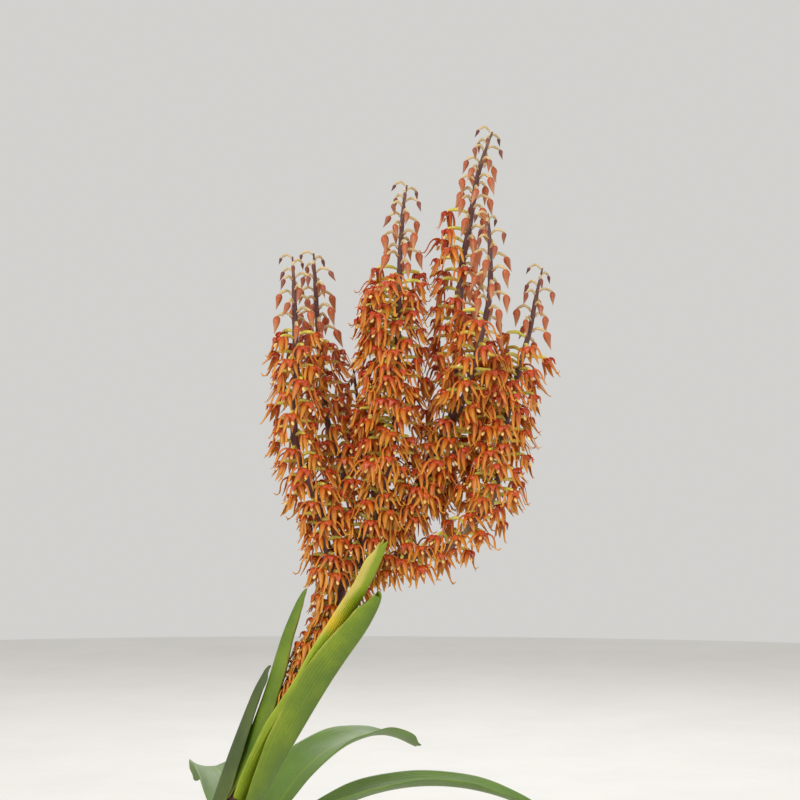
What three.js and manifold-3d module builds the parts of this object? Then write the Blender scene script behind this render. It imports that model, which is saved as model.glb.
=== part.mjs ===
// Potted Polystachya paniculata, a small orchid in flower. Millimetres, +Z up.
// The origin is the centre of the pot's flat base. The fan of sprays faces -Y, with +X to its right.

import * as THREE from 'three';
import Module from 'manifold-3d';

const wasm = await Module();
wasm.setup();
const { Manifold } = wasm;

// Driving dimensions
const GAP = 0.3; // clearance between neighbouring pieces
const SLIVER = 0.05; // detail finer than this is smoothed out of a joined piece
const POT = {
  height: 112, baseRadius: 42, neckRadius: 53, rimRadius: 60, rimHeight: 17, wall: 6, floor: 7,
  drainRadius: 5, drainAt: 22, sides: 32,
};
const BARK = {
  level: 102, crown: 6, chips: 20, chipSize: [14, 10, 5], jitter: [1.4, 1.4, 0.8], proud: 0.8, tilt: 0.5,
  spread: 43, seed: 7411,
};
const RHIZOME_RADIUS = 5.5;
const ROOT_RADIUS = 1.4;
const BULB_SIDES = 8;
const LEAF_THICKNESS = 0.8;
// reach and arch are the stalk's, and throat is the deepest point between the lobes, as LOBES gives its own
const FLOWER = {
  reach: 2.9, arch: 1.2, drop: 5.8, spread: 4.2, waist: 1.8, neck: 0.62, throat: [180, 0.8, 2.1],
};
const BUD = { length: 5.6, radius: 1.2 };
// From a flower's heart to the next heart and to another raceme's axis, within a spray and across
const CLEAR = { heart: 6.6, axis: 4.4, heartAcross: 8.2, axisAcross: 5.8 };
const TURNS = [0, 30, -30, 60, -60, 90, -90, 120, -120]; // ways to bend a flower clear, degrees

const UP = new THREE.Vector3(0, 0, 1);
const BACK = new THREE.Vector3(0, 1, 0);
const GOLDEN = 0.618034;
const DEGREE = Math.PI / 180;
const vec = (x, y, z) => new THREE.Vector3(x, y, z);
const along = (p, d, amount) => p.clone().addScaledVector(d, amount);

// A repeatable row of random draws between 0 and 1
class Draws {
  constructor(seed) {
    this.state = seed;
  }

  next() {
    this.state = (this.state * 16807) % 2147483647;
    return this.state / 2147483647;
  }

  within(amount) {
    return amount * (2 * this.next() - 1);
  }
}

// Solids from rings of points

// A closed solid from points and triangles, its faces turned outwards
function solidOf(points, triangles) {
  const build = (faces) => new Manifold(new wasm.Mesh({
    numProp: 3,
    vertProperties: new Float32Array(points.flatMap((p) => [p.x, p.y, p.z])),
    triVerts: new Uint32Array(faces.flat()),
  }));
  const solid = build(triangles);
  return solid.volume() > 0 ? solid : build(triangles.map(([a, b, c]) => [a, c, b]));
}

// The skin between two rings that may have different counts of points
function stitch(first, second) {
  const faces = [];
  let [i, j] = [0, 0];
  while (i < first.length || j < second.length) {
    const a = first[i % first.length];
    const b = second[j % second.length];
    const stepFirst = (i + 0.5) * second.length <= (j + 0.5) * first.length;
    if (j >= second.length || (i < first.length && stepFirst)) {
      if (first.length > 1) faces.push([a, first[(i + 1) % first.length], b]);
      i += 1;
    } else {
      if (second.length > 1) faces.push([a, second[(j + 1) % second.length], b]);
      j += 1;
    }
  }
  return faces;
}

// A solid through rings of points; its ends close by a fan, a strip, or in a single point
function skin(rings, cap = 'fan') {
  const points = rings.flat();
  let start = 0;
  const numbered = rings.map((ring) => ring.map(() => start++));
  const faces = numbered.slice(1).flatMap((ring, k) => stitch(numbered[k], ring));
  for (const [ring, flip] of [[numbered[0], true], [numbered.at(-1), false]]) {
    for (let k = 1; k + 1 < ring.length; k += 1) {
      const half = Math.ceil(k / 2);
      const triangle = cap === 'fan' ? [ring[0], ring[k], ring[k + 1]]
        : k % 2 ? [ring[half - 1], ring[half], ring.at(-half)]
          : [ring[half], ring.at(-half - 1), ring.at(-half)];
      faces.push(flip ? triangle.toReversed() : triangle);
    }
  }
  return solidOf(points, faces);
}

// A round or oval ring across a direction
function hoop(centre, direction, radius, sides, across = BACK, flatness = 1) {
  const side = across.clone().addScaledVector(direction, -across.dot(direction)).normalize();
  const other = direction.clone().cross(side);
  return Array.from({ length: sides }, (_, k) => {
    const turn = (2 * Math.PI * k) / sides;
    const p = along(centre, side, radius * flatness * Math.cos(turn));
    return p.addScaledVector(other, radius * Math.sin(turn));
  });
}

// A round rod along a curve, its radius running through the given values
function rod(curve, radii, sides, steps, across = BACK) {
  const rings = Array.from({ length: steps + 1 }, (_, k) => {
    const t = k / steps;
    return hoop(curve.getPointAt(t), curve.getTangentAt(t), valueAt(radii, t), sides, across);
  });
  return skin(rings);
}

// A value read from an evenly spaced list
function valueAt(list, t) {
  const place = Math.min(t, 0.999999) * (list.length - 1);
  const k = Math.floor(place);
  return THREE.MathUtils.lerp(list[k], list[k + 1], place - k);
}

const smooth = (points) => new THREE.CatmullRomCurve3(points.map((p) => vec(...p)), false, 'catmullrom');

const volumeOrder = (a, b) => (b.volume() > a.volume() ? b : a);
const wholePiece = (solid) => solid.decompose().reduce(volumeOrder).asOriginal().simplify(SLIVER);

// Pot

function latheSolid(profile, sides) {
  const points = [];
  const numbered = profile.map(([radius, height]) => {
    if (radius === 0) return [points.push(vec(0, 0, height)) - 1];
    return Array.from({ length: sides }, (_, k) => {
      const turn = (2 * Math.PI * k) / sides;
      return points.push(vec(radius * Math.cos(turn), radius * Math.sin(turn), height)) - 1;
    });
  });
  return solidOf(points, numbered.slice(1).flatMap((ring, k) => stitch(numbered[k], ring)));
}

function innerRadius(height) {
  const top = POT.height - POT.rimHeight;
  const share = Math.min(height / top, 1);
  return THREE.MathUtils.lerp(POT.baseRadius, POT.neckRadius, share) - POT.wall;
}

function pot() {
  const shoulder = POT.height - POT.rimHeight;
  const walls = latheSolid([
    [0, 0], [POT.baseRadius - 1.5, 0], [POT.baseRadius, 1.5], [POT.neckRadius, shoulder],
    [POT.rimRadius - 1.5, shoulder + 1], [POT.rimRadius, shoulder + 3],
    [POT.rimRadius + 0.6, POT.height - 1.5], [POT.rimRadius - 1, POT.height],
    [POT.rimRadius - 5.5, POT.height], [innerRadius(shoulder) + 1.5, shoulder],
    [innerRadius(POT.floor), POT.floor], [0, POT.floor],
  ], POT.sides);
  const drains = [0, 1, 2, 3].map((k) => {
    const turn = (k + 0.5) * 90 * DEGREE;
    const at = vec(POT.drainAt * Math.cos(turn), POT.drainAt * Math.sin(turn), 0);
    const ends = [-1, POT.floor + 1].map((z) => hoop(vec(at.x, at.y, z), UP, POT.drainRadius, 12));
    return skin(ends);
  });
  return walls.subtract(Manifold.union(drains));
}

// Pseudobulbs, rhizome, roots and shoot

const surface = (x, y) => BARK.level + BARK.crown * (1 - (x * x + y * y) / (POT.neckRadius ** 2));

// The base and apex of each pseudobulb, how far its middle bows out, and its half-widths from the base up
const BULBS = {
  pseudobulb_flowering: {
    base: [-11, 0, 108.5], apex: [29, 0, 203], bow: 3, halfWidths: [7, 12, 14, 14, 12, 9, 6.6],
  },
  pseudobulb_right: {
    base: [16, 17, 107.5], apex: [33, 30, 170], bow: 2, halfWidths: [5, 9, 12, 12, 10, 7.5, 5.5],
  },
  pseudobulb_left: {
    base: [-31, -14, 107.5], apex: [-47, -26, 166], bow: -2, halfWidths: [5, 9, 12, 12, 10, 7.5, 5.5],
  },
  pseudobulb_old: {
    base: [-34, 17, 106.5], apex: [-40, 25, 158], bow: -2, halfWidths: [5, 9, 11, 11, 9, 6, 3.5],
  },
};
const BULB_FLATNESS = 0.5;

function bulb({ base, apex, bow, halfWidths }, grow = 0) {
  const [from, to] = [vec(...base), vec(...apex)];
  const lean = to.clone().sub(from);
  const flat = vec(lean.x, lean.y, 0).normalize();
  const middle = from.clone().lerp(to, 0.5).addScaledVector(flat, bow);
  const curve = new THREE.QuadraticBezierCurve3(from, middle, to);
  const across = flat.clone().cross(UP);
  const steps = halfWidths.length + 1;
  const rings = Array.from({ length: steps + 1 }, (_, k) => {
    const t = k / steps;
    const halfWidth = valueAt(halfWidths, t);
    const flatness = (halfWidth * BULB_FLATNESS + grow) / (halfWidth + grow);
    return hoop(curve.getPoint(t), curve.getTangent(t), halfWidth + grow, BULB_SIDES, across, flatness);
  });
  return skin(rings);
}

const RHIZOMES = [
  [[-34, 20, 103], [-37, 2, 104], [-30, -12, 104], [-12, -2, 105], [9, -15, 105]],
  [[-14, 1, 105], [0, 10, 106], [15, 17, 104], [22, 20, 101]],
];
const ROOTS = [
  [[-12, 0, 106], [-6, -16, 110], [-14, -30, 108], [-18, -40, 98]],
  [[15, 17, 105], [26, 6, 109], [38, 8, 106], [43, 4, 97]],
  [[15, 17, 105], [6, 28, 109], [-6, 34, 107], [-12, 42, 97]],
  [[9, -15, 106], [16, -26, 109], [28, -32, 106], [31, -35, 97]],
];

function rhizomeAndRoots(grow = 0) {
  const girths = [0.55, 1, 1, 1, 0.55].map((share) => share * RHIZOME_RADIUS + grow);
  const stems = RHIZOMES.map((path) => rod(smooth(path), girths, 7, 7, UP));
  const roots = ROOTS.map((path) => rod(smooth(path), [ROOT_RADIUS + grow, ROOT_RADIUS + grow], 4, 6, UP));
  return wholePiece(Manifold.union([...stems, ...roots]));
}

// Bark mix: the filling of the pot with loose chips grown out of its surface

function barkChip(draws, number) {
  const around = 2 * Math.PI * GOLDEN * number + draws.within(0.1);
  const reach = BARK.spread * Math.sqrt((number + 0.5) / BARK.chips);
  const [x, y] = [reach * Math.cos(around), reach * Math.sin(around)];
  const scale = 0.85 + 0.3 * draws.next();
  const box = new THREE.BoxGeometry(...BARK.chipSize.map((size) => size * scale));
  const corners = box.getAttribute('position');
  const turned = new THREE.Euler(draws.within(BARK.tilt), draws.within(BARK.tilt), 2 * Math.PI * draws.next());
  const jitter = Array.from({ length: 8 }, () => vec(...BARK.jitter.map((amount) => draws.within(amount))));
  const seat = vec(x, y, surface(x, y) + BARK.proud);
  const corner = (p) => (p.x > 0 ? 4 : 0) + (p.y > 0 ? 2 : 0) + (p.z > 0 ? 1 : 0);
  const points = [];
  const index = {};
  for (let k = 0; k < corners.count; k += 1) {
    const p = vec().fromBufferAttribute(corners, k);
    const name = corner(p);
    if (index[name] === undefined) {
      index[name] = points.push(p.add(jitter[name]).applyEuler(turned).add(seat)) - 1;
    }
    corners.setX(k, index[name]);
  }
  const order = box.getIndex().array;
  const faces = Array.from({ length: order.length / 3 }, (_, k) => (
    [0, 1, 2].map((m) => corners.getX(order[3 * k + m]))));
  return solidOf(points, faces);
}

function barkMix(neighbours) {
  const rings = [0.6, 1].map((share) => share * innerRadius(BARK.level));
  const fill = latheSolid([
    [0, POT.floor + GAP], [innerRadius(POT.floor) - GAP - 0.3, POT.floor + GAP],
    [innerRadius(BARK.level) - GAP - 0.3, BARK.level - 8],
    ...rings.toReversed().map((r, k) => [k ? r : r - GAP - 0.3, surface(r, 0)]), [0, surface(0, 0)],
  ], 22);
  const draws = new Draws(BARK.seed);
  const chips = Array.from({ length: BARK.chips }, (_, k) => barkChip(draws, k));
  const [floorRadius, neckRadius] = [innerRadius(POT.floor) - GAP, innerRadius(POT.height) + 1];
  const inside = latheSolid([
    [0, 0], [floorRadius, POT.floor], [neckRadius, POT.height - POT.rimHeight],
    [POT.rimRadius - 6, POT.height], [POT.rimRadius - 6, POT.height + 20], [0, POT.height + 20],
  ], 22);
  const mix = Manifold.union([fill, ...chips]).intersect(inside);
  return wholePiece(mix.subtract(Manifold.union(neighbours)));
}

// Leaves: folded straps whose keel follows a curve and whose two lobes at the tip are unequal

const LEAVES = {
  leaf_inner_right: {
    keel: [[33.6, 0, 204.3], [46.9, -1, 225.5], [60.2, -2.5, 245.9], [67.2, -5, 258.8], [74.6, -8, 274.7],
      [80.2, -10.5, 285.1], [84.8, -12.5, 295], [86.2, -13.5, 299]],
    open: [-1, 0, 0.45], halfWidths: [6, 11.5, 14.5, 11.5, 7.6, 6.8, 6, 5],
    folds: [40, 44, 45, 45, 45, 45, 48, 50], lobes: [5, 3.5],
  },
  leaf_outer_right: {
    keel: [[35.6, 0, 196], [49.9, -1, 221.7], [63.2, -3, 244.4], [70.9, -6.5, 256.6], [78.7, -9.5, 268],
      [83, -11.5, 276], [84.4, -12.2, 279.6]],
    open: [-1, 0, 0.5], halfWidths: [6, 10, 12, 11, 9, 7.4, 5.5], folds: [44, 44, 45, 45, 45, 47, 50],
    lobes: [5, 2.5],
  },
  leaf_inner_left: {
    keel: [[24.6, 0, 208], [33.2, 0, 225.5], [41, -0.5, 245.5], [45.4, -1, 259.2], [49.5, -1.5, 268.4],
      [53.6, -2, 278], [55.6, -2.2, 282.5]],
    open: [1, 0, -0.4], halfWidths: [5.5, 7, 8, 7.5, 6, 4, 2.6], folds: [44, 44, 44, 42, 40, 38, 36],
    lobes: [4.5, 3],
  },
  leaf_outer_left: {
    keel: [[19.2, 0, 197.5], [27.6, 0, 222], [36, 0, 243.5], [39.8, 0, 251], [41.6, 0, 254]],
    open: [1, 0, -0.4], halfWidths: [6, 8, 7.5, 5, 3.5], folds: [46, 46, 44, 42, 42], lobes: [3.5, 2],
  },
};

// Arching leaves of the older growths: seat, compass bearing, first and last slope, length
const ARCHES = {
  leaf_right_1: { seat: [36, 30.5, 167.5], bearing: 2, slopes: [58, -34], length: 128 },
  leaf_right_2: { seat: [33.5, 33, 170.5], bearing: 52, slopes: [66, -26], length: 122 },
  leaf_right_3: { seat: [30.8, 34.5, 167.5], bearing: 105, slopes: [60, -30], length: 106 },
  leaf_left_1: { seat: [-48.5, -28.5, 163.5], bearing: 262, slopes: [60, -36], length: 112 },
  leaf_left_2: { seat: [-49.5, -26.5, 166.5], bearing: 214, slopes: [64, -28], length: 126 },
  leaf_left_3: { seat: [-50, -24, 163.5], bearing: 168, slopes: [56, -36], length: 132 },
};
const ARCH_HALF_WIDTHS = [5, 9, 11.5, 12.5, 12.5, 12, 10.5, 8, 5];
const ARCH_FOLDS = [42, 50, 58, 64, 68, 70, 70, 70, 70];

function archKeel({ seat, bearing, slopes, length }) {
  const steps = 12;
  const heading = vec(Math.cos(bearing * DEGREE), Math.sin(bearing * DEGREE), 0);
  const keel = [vec(...seat)];
  for (let k = 0; k < steps; k += 1) {
    const slope = THREE.MathUtils.lerp(slopes[0], slopes[1], (k + 0.5) / steps) * DEGREE;
    const next = along(keel.at(-1), heading, (length / steps) * Math.cos(slope));
    keel.push(next.addScaledVector(UP, (length / steps) * Math.sin(slope)));
  }
  return keel.map((p) => p.toArray());
}

function leaf({ keel, open, halfWidths, folds, lobes }, steps, grow = 0) {
  const curve = smooth(keel);
  const thickness = LEAF_THICKNESS + 2 * grow;
  const openSide = vec(...open);
  const rings = Array.from({ length: steps + 1 }, (_, k) => {
    const t = k / steps;
    const heading = curve.getTangentAt(t);
    const inward = openSide.clone().addScaledVector(heading, -openSide.dot(heading)).normalize();
    const side = heading.clone().cross(inward);
    const fold = valueAt(folds, t) * DEGREE;
    const width = valueAt(halfWidths, t) + grow;
    const shift = thickness / Math.sin(fold);
    const beyond = k === 0 ? -grow : k === steps ? 2 * grow : 0;
    const point = curve.getPointAt(t).addScaledVector(inward, -grow / Math.sin(fold))
      .addScaledVector(heading, beyond);
    const margin = (hand, tip = 0) => along(point, inward, width * Math.cos(fold) * (tip ? 0.6 : 1))
      .addScaledVector(side, hand * width * Math.sin(fold) * (tip ? 0.6 : 1)).addScaledVector(heading, tip);
    const outer = k < steps ? [margin(-1), point, margin(1)]
      : [margin(-1, lobes[0]), point, margin(1, lobes[1])];
    return [...outer, ...outer.toReversed().map((p) => along(p, inward, shift))];
  });
  return skin(rings, 'strip');
}

const LEAF_STEPS = { upright: 10, arching: 8 };

function leafSolids(grow = 0) {
  const made = {};
  for (const [name, shape] of Object.entries(LEAVES)) made[name] = leaf(shape, LEAF_STEPS.upright, grow);
  for (const [name, arch] of Object.entries(ARCHES)) {
    const shape = {
      keel: archKeel(arch), open: [0, 0, 1], halfWidths: ARCH_HALF_WIDTHS, folds: ARCH_FOLDS, lobes: [5, 2.5],
    };
    made[name] = leaf(shape, LEAF_STEPS.arching, grow);
  }
  return made;
}

const SHOOT = [
  { keel: [[9, -15, 105], [12, -18, 122], [17, -22, 140], [24, -27, 154]], halfWidths: [6, 6.5, 5, 2.5] },
  { keel: [[9, -15, 105], [9, -16.5, 124], [9, -18, 146], [7, -19, 164]], halfWidths: [6, 6.5, 5.5, 2.5] },
  { keel: [[9, -15, 105], [6, -13.5, 118], [2, -12, 130], [-4, -10, 140]], halfWidths: [6, 6, 4.5, 2] },
];

function youngShoot(grow = 0) {
  const openings = [[-1, 0.5, 0.4], [1, -0.3, 0], [1, -0.5, 0.4]];
  const blades = SHOOT.map((blade, k) => leaf({
    ...blade, open: openings[k], folds: [38, 34, 32, 34], lobes: [3, 2],
  }, 4, grow));
  const core = skin([
    hoop(vec(9, -15, 103), UP, 5 + grow, 6), hoop(vec(9, -15, 112), UP, 5.5 + grow, 6),
    hoop(vec(9, -15.5, 124), UP, 3 + grow, 6),
  ]);
  return Manifold.union([core, ...blades]);
}

// Panicle

// Each raceme: its axis from base to tip, its rod's radii, the stretch that bears flowers and their pitch,
// the side that they keep to and how far round it, how much further their stalks reach than a bud's,
// and how far below the tip the flowers open on its left and on its right
const RACEMES = {
  stem: {
    node: 'spray_middle', seed: 101, radii: [2.2, 1.9, 1.7, 1.3, 0.9, 0.6], steps: 20,
    axis: [[28.6, 0, 203.6], [48, 0, 244], [57, 0, 259], [65.8, 0, 272.9], [72.8, 1, 290.6],
      [81, 0, 308.8], [88.7, -2, 338.4], [90.3, -3, 360.6], [90.6, -4, 379.1], [91.3, -4, 405],
      [92.6, -4, 425], [93.9, -4, 432.3]],
    from: 98, pitch: 2.15, reach: 1.42, open: [34, 38],
  },
  stem_low: {
    node: 'spray_middle', seed: 202, follows: 'stem', from: 44, to: 98, pitch: 2.3, sector: [205, 95],
    reach: 0.8, open: [-400, -400],
  },
  behind: {
    node: 'spray_middle', seed: 303, radii: [1.1, 0.9, 0.5], steps: 7,
    axis: [[82.5, 0, 317], [79.5, 10, 328], [76.9, 16, 342.1], [75, 18, 355], [73.5, 18, 366.1]],
    from: 12, pitch: 2.9, open: [11, 14],
  },
  outer_left: {
    node: 'spray_left', seed: 404, radii: [1.7, 1.5, 1.3, 1.0, 0.55], steps: 12,
    axis: [[69.2, -0.6, 283.6], [66, -2.6, 292], [63.6, -4.4, 303], [61, -6, 315], [55, -7, 329.1],
      [52.4, -7, 342.1], [53.2, -6, 360.6], [52.8, -5, 378], [52.2, -4, 396], [51.7, -4, 406]],
    from: 6, pitch: 2.5, reach: 1.1, open: [28, 31],
  },
  inner_left: {
    node: 'spray_left', seed: 505, radii: [1.3, 1.2, 1.0, 0.55], steps: 10,
    axis: [[63.6, -4.4, 303], [67.5, 2, 314], [70.6, 5, 325.4], [66.9, 8, 336.5], [63.9, 9, 346],
      [62.4, 9, 360.6], [60.4, 8, 384], [59.1, 6, 407.9]],
    from: 8, pitch: 2.5, reach: 1.1, open: [30, 33],
  },
  tall: {
    node: 'spray_tall', seed: 606, radii: [1.8, 1.6, 1.4, 1.0, 0.55], steps: 18,
    axis: [[76.6, 1.2, 298.2], [80.6, 3.4, 301.8], [85.7, 5, 306.9], [93.5, 6, 314.3], [99.2, 6, 323.6],
      [104, 6, 333.9], [108.6, 6, 341], [111.3, 6, 350], [112, 6, 360.6], [112.6, 6, 376], [114.4, 5, 403],
      [116.5, 4, 414.2], [120.2, 3, 436.4], [124.2, 2, 449.4], [126.2, 2, 454.6]],
    from: 10, pitch: 2.15, reach: 1.42, open: [31, 72],
  },
  inner_right: {
    node: 'spray_tall', seed: 707, radii: [1.3, 1.1, 0.9, 0.55], steps: 10,
    axis: [[111.6, 6, 346], [114, -2, 352], [116.5, -7, 359.5], [120.2, -10, 373.5], [124, -10, 391],
      [124.2, -9, 408.7], [123.6, -8, 421.6]],
    from: 12, pitch: 2.6, reach: 1.1, open: [36, 50],
  },
  right: {
    node: 'spray_right', seed: 808, radii: [1.5, 1.4, 1.3, 1.0, 0.55], steps: 18,
    axis: [[73.8, 1.3, 291.4], [80, 3, 293.2], [87.6, 3, 294.4], [98, 2, 295.6], [107.9, 0, 298.4],
      [114, -1, 302.6], [121, -2, 310], [125.9, -2, 315.5], [129.6, -2, 326], [131.6, -1, 337],
      [134.4, 0, 351], [138.3, 1, 369], [140.3, 1, 380], [141.6, 0, 391], [144, 0, 402]],
    from: 13, pitch: 2.9, reach: 1.1, open: [27, 30],
  },
};
const YOUNG_LENGTH = 20; // stretch below a tip over which the buds grow to full size
const SMALLEST = 0.42;

const axisOf = (name) => smooth(RACEMES[RACEMES[name].follows ?? name].axis);

// The flowers and buds of one raceme before they are bent clear
function stations(name, curve) {
  const { seed, from, to, pitch, sector = [0, 180], reach = 1, open } = RACEMES[name];
  const draws = new Draws(seed);
  const length = curve.getLength();
  const count = Math.floor(((to ?? length - 0.8) - from) / pitch) + 1;
  return Array.from({ length: count }, (_, k) => {
    const at = (to ?? length - 0.8) - k * pitch + (k ? draws.within(0.5) : 0);
    const turn = sector[0] + sector[1] * (2 * ((k * GOLDEN) % 1) - 1) + draws.within(9);
    const below = length - at;
    const youth = Math.min(1, SMALLEST + ((1 - SMALLEST) * below) / YOUNG_LENGTH);
    const size = youth * (1 + draws.within(0.1));
    const rightness = 0.5 + 0.5 * Math.cos(turn * DEGREE);
    const opens = open[0] + (open[1] - open[0]) * rightness + draws.within(3);
    const inFlower = below > opens;
    const stretch = (inFlower ? reach : 1) * (1 + draws.within(0.12));
    return { at: at / length, turn, size, reach: stretch, inFlower };
  });
}

// Where a flower sits when its station is turned by so many degrees
function poseOf(curve, station, extraTurn) {
  const centre = curve.getPointAt(station.at);
  const heading = curve.getTangentAt(station.at);
  const right = BACK.clone().cross(heading).normalize();
  const rear = heading.clone().cross(right);
  const turn = (station.turn + extraTurn) * DEGREE;
  const out = right.clone().multiplyScalar(Math.cos(turn)).addScaledVector(rear, Math.sin(turn));
  const level = vec(out.x, out.y + 0.05 * Math.sign(Math.sin(turn)), 0).normalize();
  const length = FLOWER.reach * station.size * station.reach;
  const bend = along(centre, out, length).addScaledVector(UP, FLOWER.arch * station.size);
  const crown = along(bend, level, 0.8 * length).addScaledVector(UP, -0.25 * station.size);
  const heart = along(crown, UP, -0.45 * FLOWER.drop * station.size);
  return { ...station, centre, out, level, bend, crown, heart };
}

// All flowers, node by node, each turned to the first side that is clear of the other nodes
function placeFlowers() {
  const curves = Object.fromEntries(Object.keys(RACEMES).map((name) => [name, axisOf(name)]));
  const axes = Object.entries(RACEMES).filter(([, r]) => !r.follows).flatMap(([name, r]) => {
    const steps = Math.round(curves[name].getLength() / 4);
    return curves[name].getSpacedPoints(steps).map((point) => ({ point, node: r.node, raceme: name }));
  });
  const placed = [];
  for (const [name, { node }] of Object.entries(RACEMES)) {
    for (const station of stations(name, curves[name])) {
      const clear = TURNS.map((turn) => poseOf(curves[name], station, turn)).find(({ heart, size }) => (
        placed.every((p) => p.heart.distanceTo(heart)
          > (p.node === node ? CLEAR.heart * Math.min(size, p.size, 1) : CLEAR.heartAcross))
        && axes.every((a) => a.raceme === (RACEMES[name].follows ?? name) || a.point.distanceTo(heart)
          > (a.node === node ? CLEAR.axis : CLEAR.axisAcross))));
      if (clear) placed.push({ ...clear, node, raceme: name });
    }
  }
  return placed;
}

// A three-sided stalk from a point in the axis to its arch above the crown of the flower or bud
function stalkRings({ centre, level, bend, crown, size }, grow) {
  const arch = bend.clone().lerp(crown, 0.5);
  return [[centre], hoop(arch, level, FLOWER.neck * Math.max(size, 0.7) + grow, 3, UP)];
}

const hangingDown = (level) => vec(level.x * 0.25, level.y * 0.25, -1).normalize();

// Rings across the hanging direction, points given by angle, radius and depth below the crown
function hanging({ level, crown, size }, points, grow) {
  const down = hangingDown(level);
  const outward = down.clone().cross(UP.clone().cross(level)).normalize();
  const sideways = down.clone().cross(outward);
  return points.map(([angle, radius, depth]) => {
    const turn = angle * DEGREE;
    const p = along(crown, down, depth * size + grow);
    p.addScaledVector(outward, (radius * size + grow) * Math.cos(turn));
    return p.addScaledVector(sideways, (radius * size + grow) * Math.sin(turn));
  });
}

// Five hanging lobes, two long sepals, two spreading petals and the rear sepal, round a domed hood
const LOBES = [
  [0, 1.25 * FLOWER.waist, 1.7], [38, 2.7, FLOWER.drop], [68, FLOWER.waist, 2.1],
  [98, FLOWER.spread, 0.84 * FLOWER.drop], [138, 0.75 * FLOWER.waist, 2.3], [180, 1.7, FLOWER.drop],
  [222, 0.75 * FLOWER.waist, 2.3], [262, FLOWER.spread, 0.84 * FLOWER.drop],
  [292, FLOWER.waist, 2.1], [322, 2.7, FLOWER.drop],
];

function flowerSolid(pose, grow) {
  const inside = hanging(pose, [FLOWER.throat], 0)[0].addScaledVector(UP, -grow);
  return skin([...stalkRings(pose, grow), hanging(pose, LOBES, grow), [inside]]);
}

function budSolid(pose, grow) {
  const fat = [45, 135, 225, 315].map((angle) => [angle, BUD.radius, 1.3]);
  const tip = hanging(pose, [[0, 0.5, BUD.length]], 0)[0].addScaledVector(UP, -grow);
  return skin([...stalkRings(pose, grow), hanging(pose, fat, grow), [tip]]);
}

// The solid of each spray, with its racemes and all their flowers fused
function sprays(placed, grow = 0) {
  const made = {};
  for (const [name, { node, radii, steps, follows }] of Object.entries(RACEMES)) {
    const parts = made[node] ?? (made[node] = []);
    if (!follows) parts.push(rod(axisOf(name), radii.map((r) => r + grow), 5, steps));
    for (const pose of placed.filter((p) => p.raceme === name)) {
      parts.push(pose.inFlower ? flowerSolid(pose, grow) : budSolid(pose, grow));
    }
  }
  return Object.fromEntries(Object.entries(made).map(([node, parts]) => [node, Manifold.union(parts)]));
}

// Assembly

const FINISHES = {
  pot: [0xb5623c, 0.85],
  bark_mix: [0x4a3122, 0.95],
  rhizome_and_roots: [0xb9ad8c, 0.8],
  pseudobulb: [0x7d9a3a, 0.5],
  young_shoot: [0x9bb84a, 0.5],
  leaf: [0x7f9c2c, 0.45],
  leaf_outer_left: [0x76875a, 0.5],
  spray: [0xd0602a, 0.55],
};

function meshOf(name, solid) {
  const { vertProperties, triVerts } = solid.getMesh();
  const geometry = new THREE.BufferGeometry();
  geometry.setAttribute('position', new THREE.BufferAttribute(vertProperties, 3));
  geometry.setIndex(new THREE.BufferAttribute(triVerts, 1));
  const kind = Object.keys(FINISHES).findLast((key) => name.startsWith(key));
  const exact = FINISHES[name] ?? FINISHES[kind];
  const material = new THREE.MeshStandardMaterial({ color: exact[0], roughness: exact[1], metalness: 0 });
  const mesh = new THREE.Mesh(geometry, material);
  mesh.name = name;
  return mesh;
}

function assemble() {
  const roots = rhizomeAndRoots();
  const fatRoots = rhizomeAndRoots(GAP);
  const bulbs = {};
  const fatBulbs = {};
  for (const [name, shape] of Object.entries(BULBS)) {
    bulbs[name] = wholePiece(bulb(shape).subtract(fatRoots));
    fatBulbs[name] = bulb(shape, GAP);
  }
  const allBulbs = Manifold.union(Object.values(fatBulbs));
  const shoot = wholePiece(youngShoot().subtract(fatRoots));
  const bark = barkMix([fatRoots, allBulbs, youngShoot(GAP)]);

  const fatLeaves = leafSolids(GAP);
  const leaves = leafSolids();
  const names = Object.keys(leaves);
  names.forEach((name, k) => {
    const earlier = names.slice(0, k).map((other) => fatLeaves[other]);
    leaves[name] = wholePiece(leaves[name].subtract(Manifold.union([allBulbs, ...earlier])));
  });

  const placed = placeFlowers();
  const solids = sprays(placed);
  const fatSprays = sprays(placed, GAP);
  const cutters = [allBulbs, ...Object.values(fatLeaves)];
  for (const node of Object.keys(solids)) {
    solids[node] = wholePiece(solids[node].subtract(Manifold.union(cutters)));
    cutters.push(fatSprays[node]);
  }
  return {
    pot: pot(), bark_mix: bark, rhizome_and_roots: roots, ...bulbs, young_shoot: shoot, ...leaves, ...solids,
  };
}

const plant = new THREE.Group();
for (const [name, solid] of Object.entries(assemble())) plant.add(meshOf(name, solid));

export default plant;
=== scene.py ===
"""A potted Polystachya paniculata in flower: its finer pieces and finishes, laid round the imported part.

Lengths in the tables are millimetres in the part's own frame, +Z up, with the fan of sprays facing -Y.
"""

import math

import bpy
from mathutils import Euler, Matrix, Vector, noise
from mathutils.bvhtree import BVHTree


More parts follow.
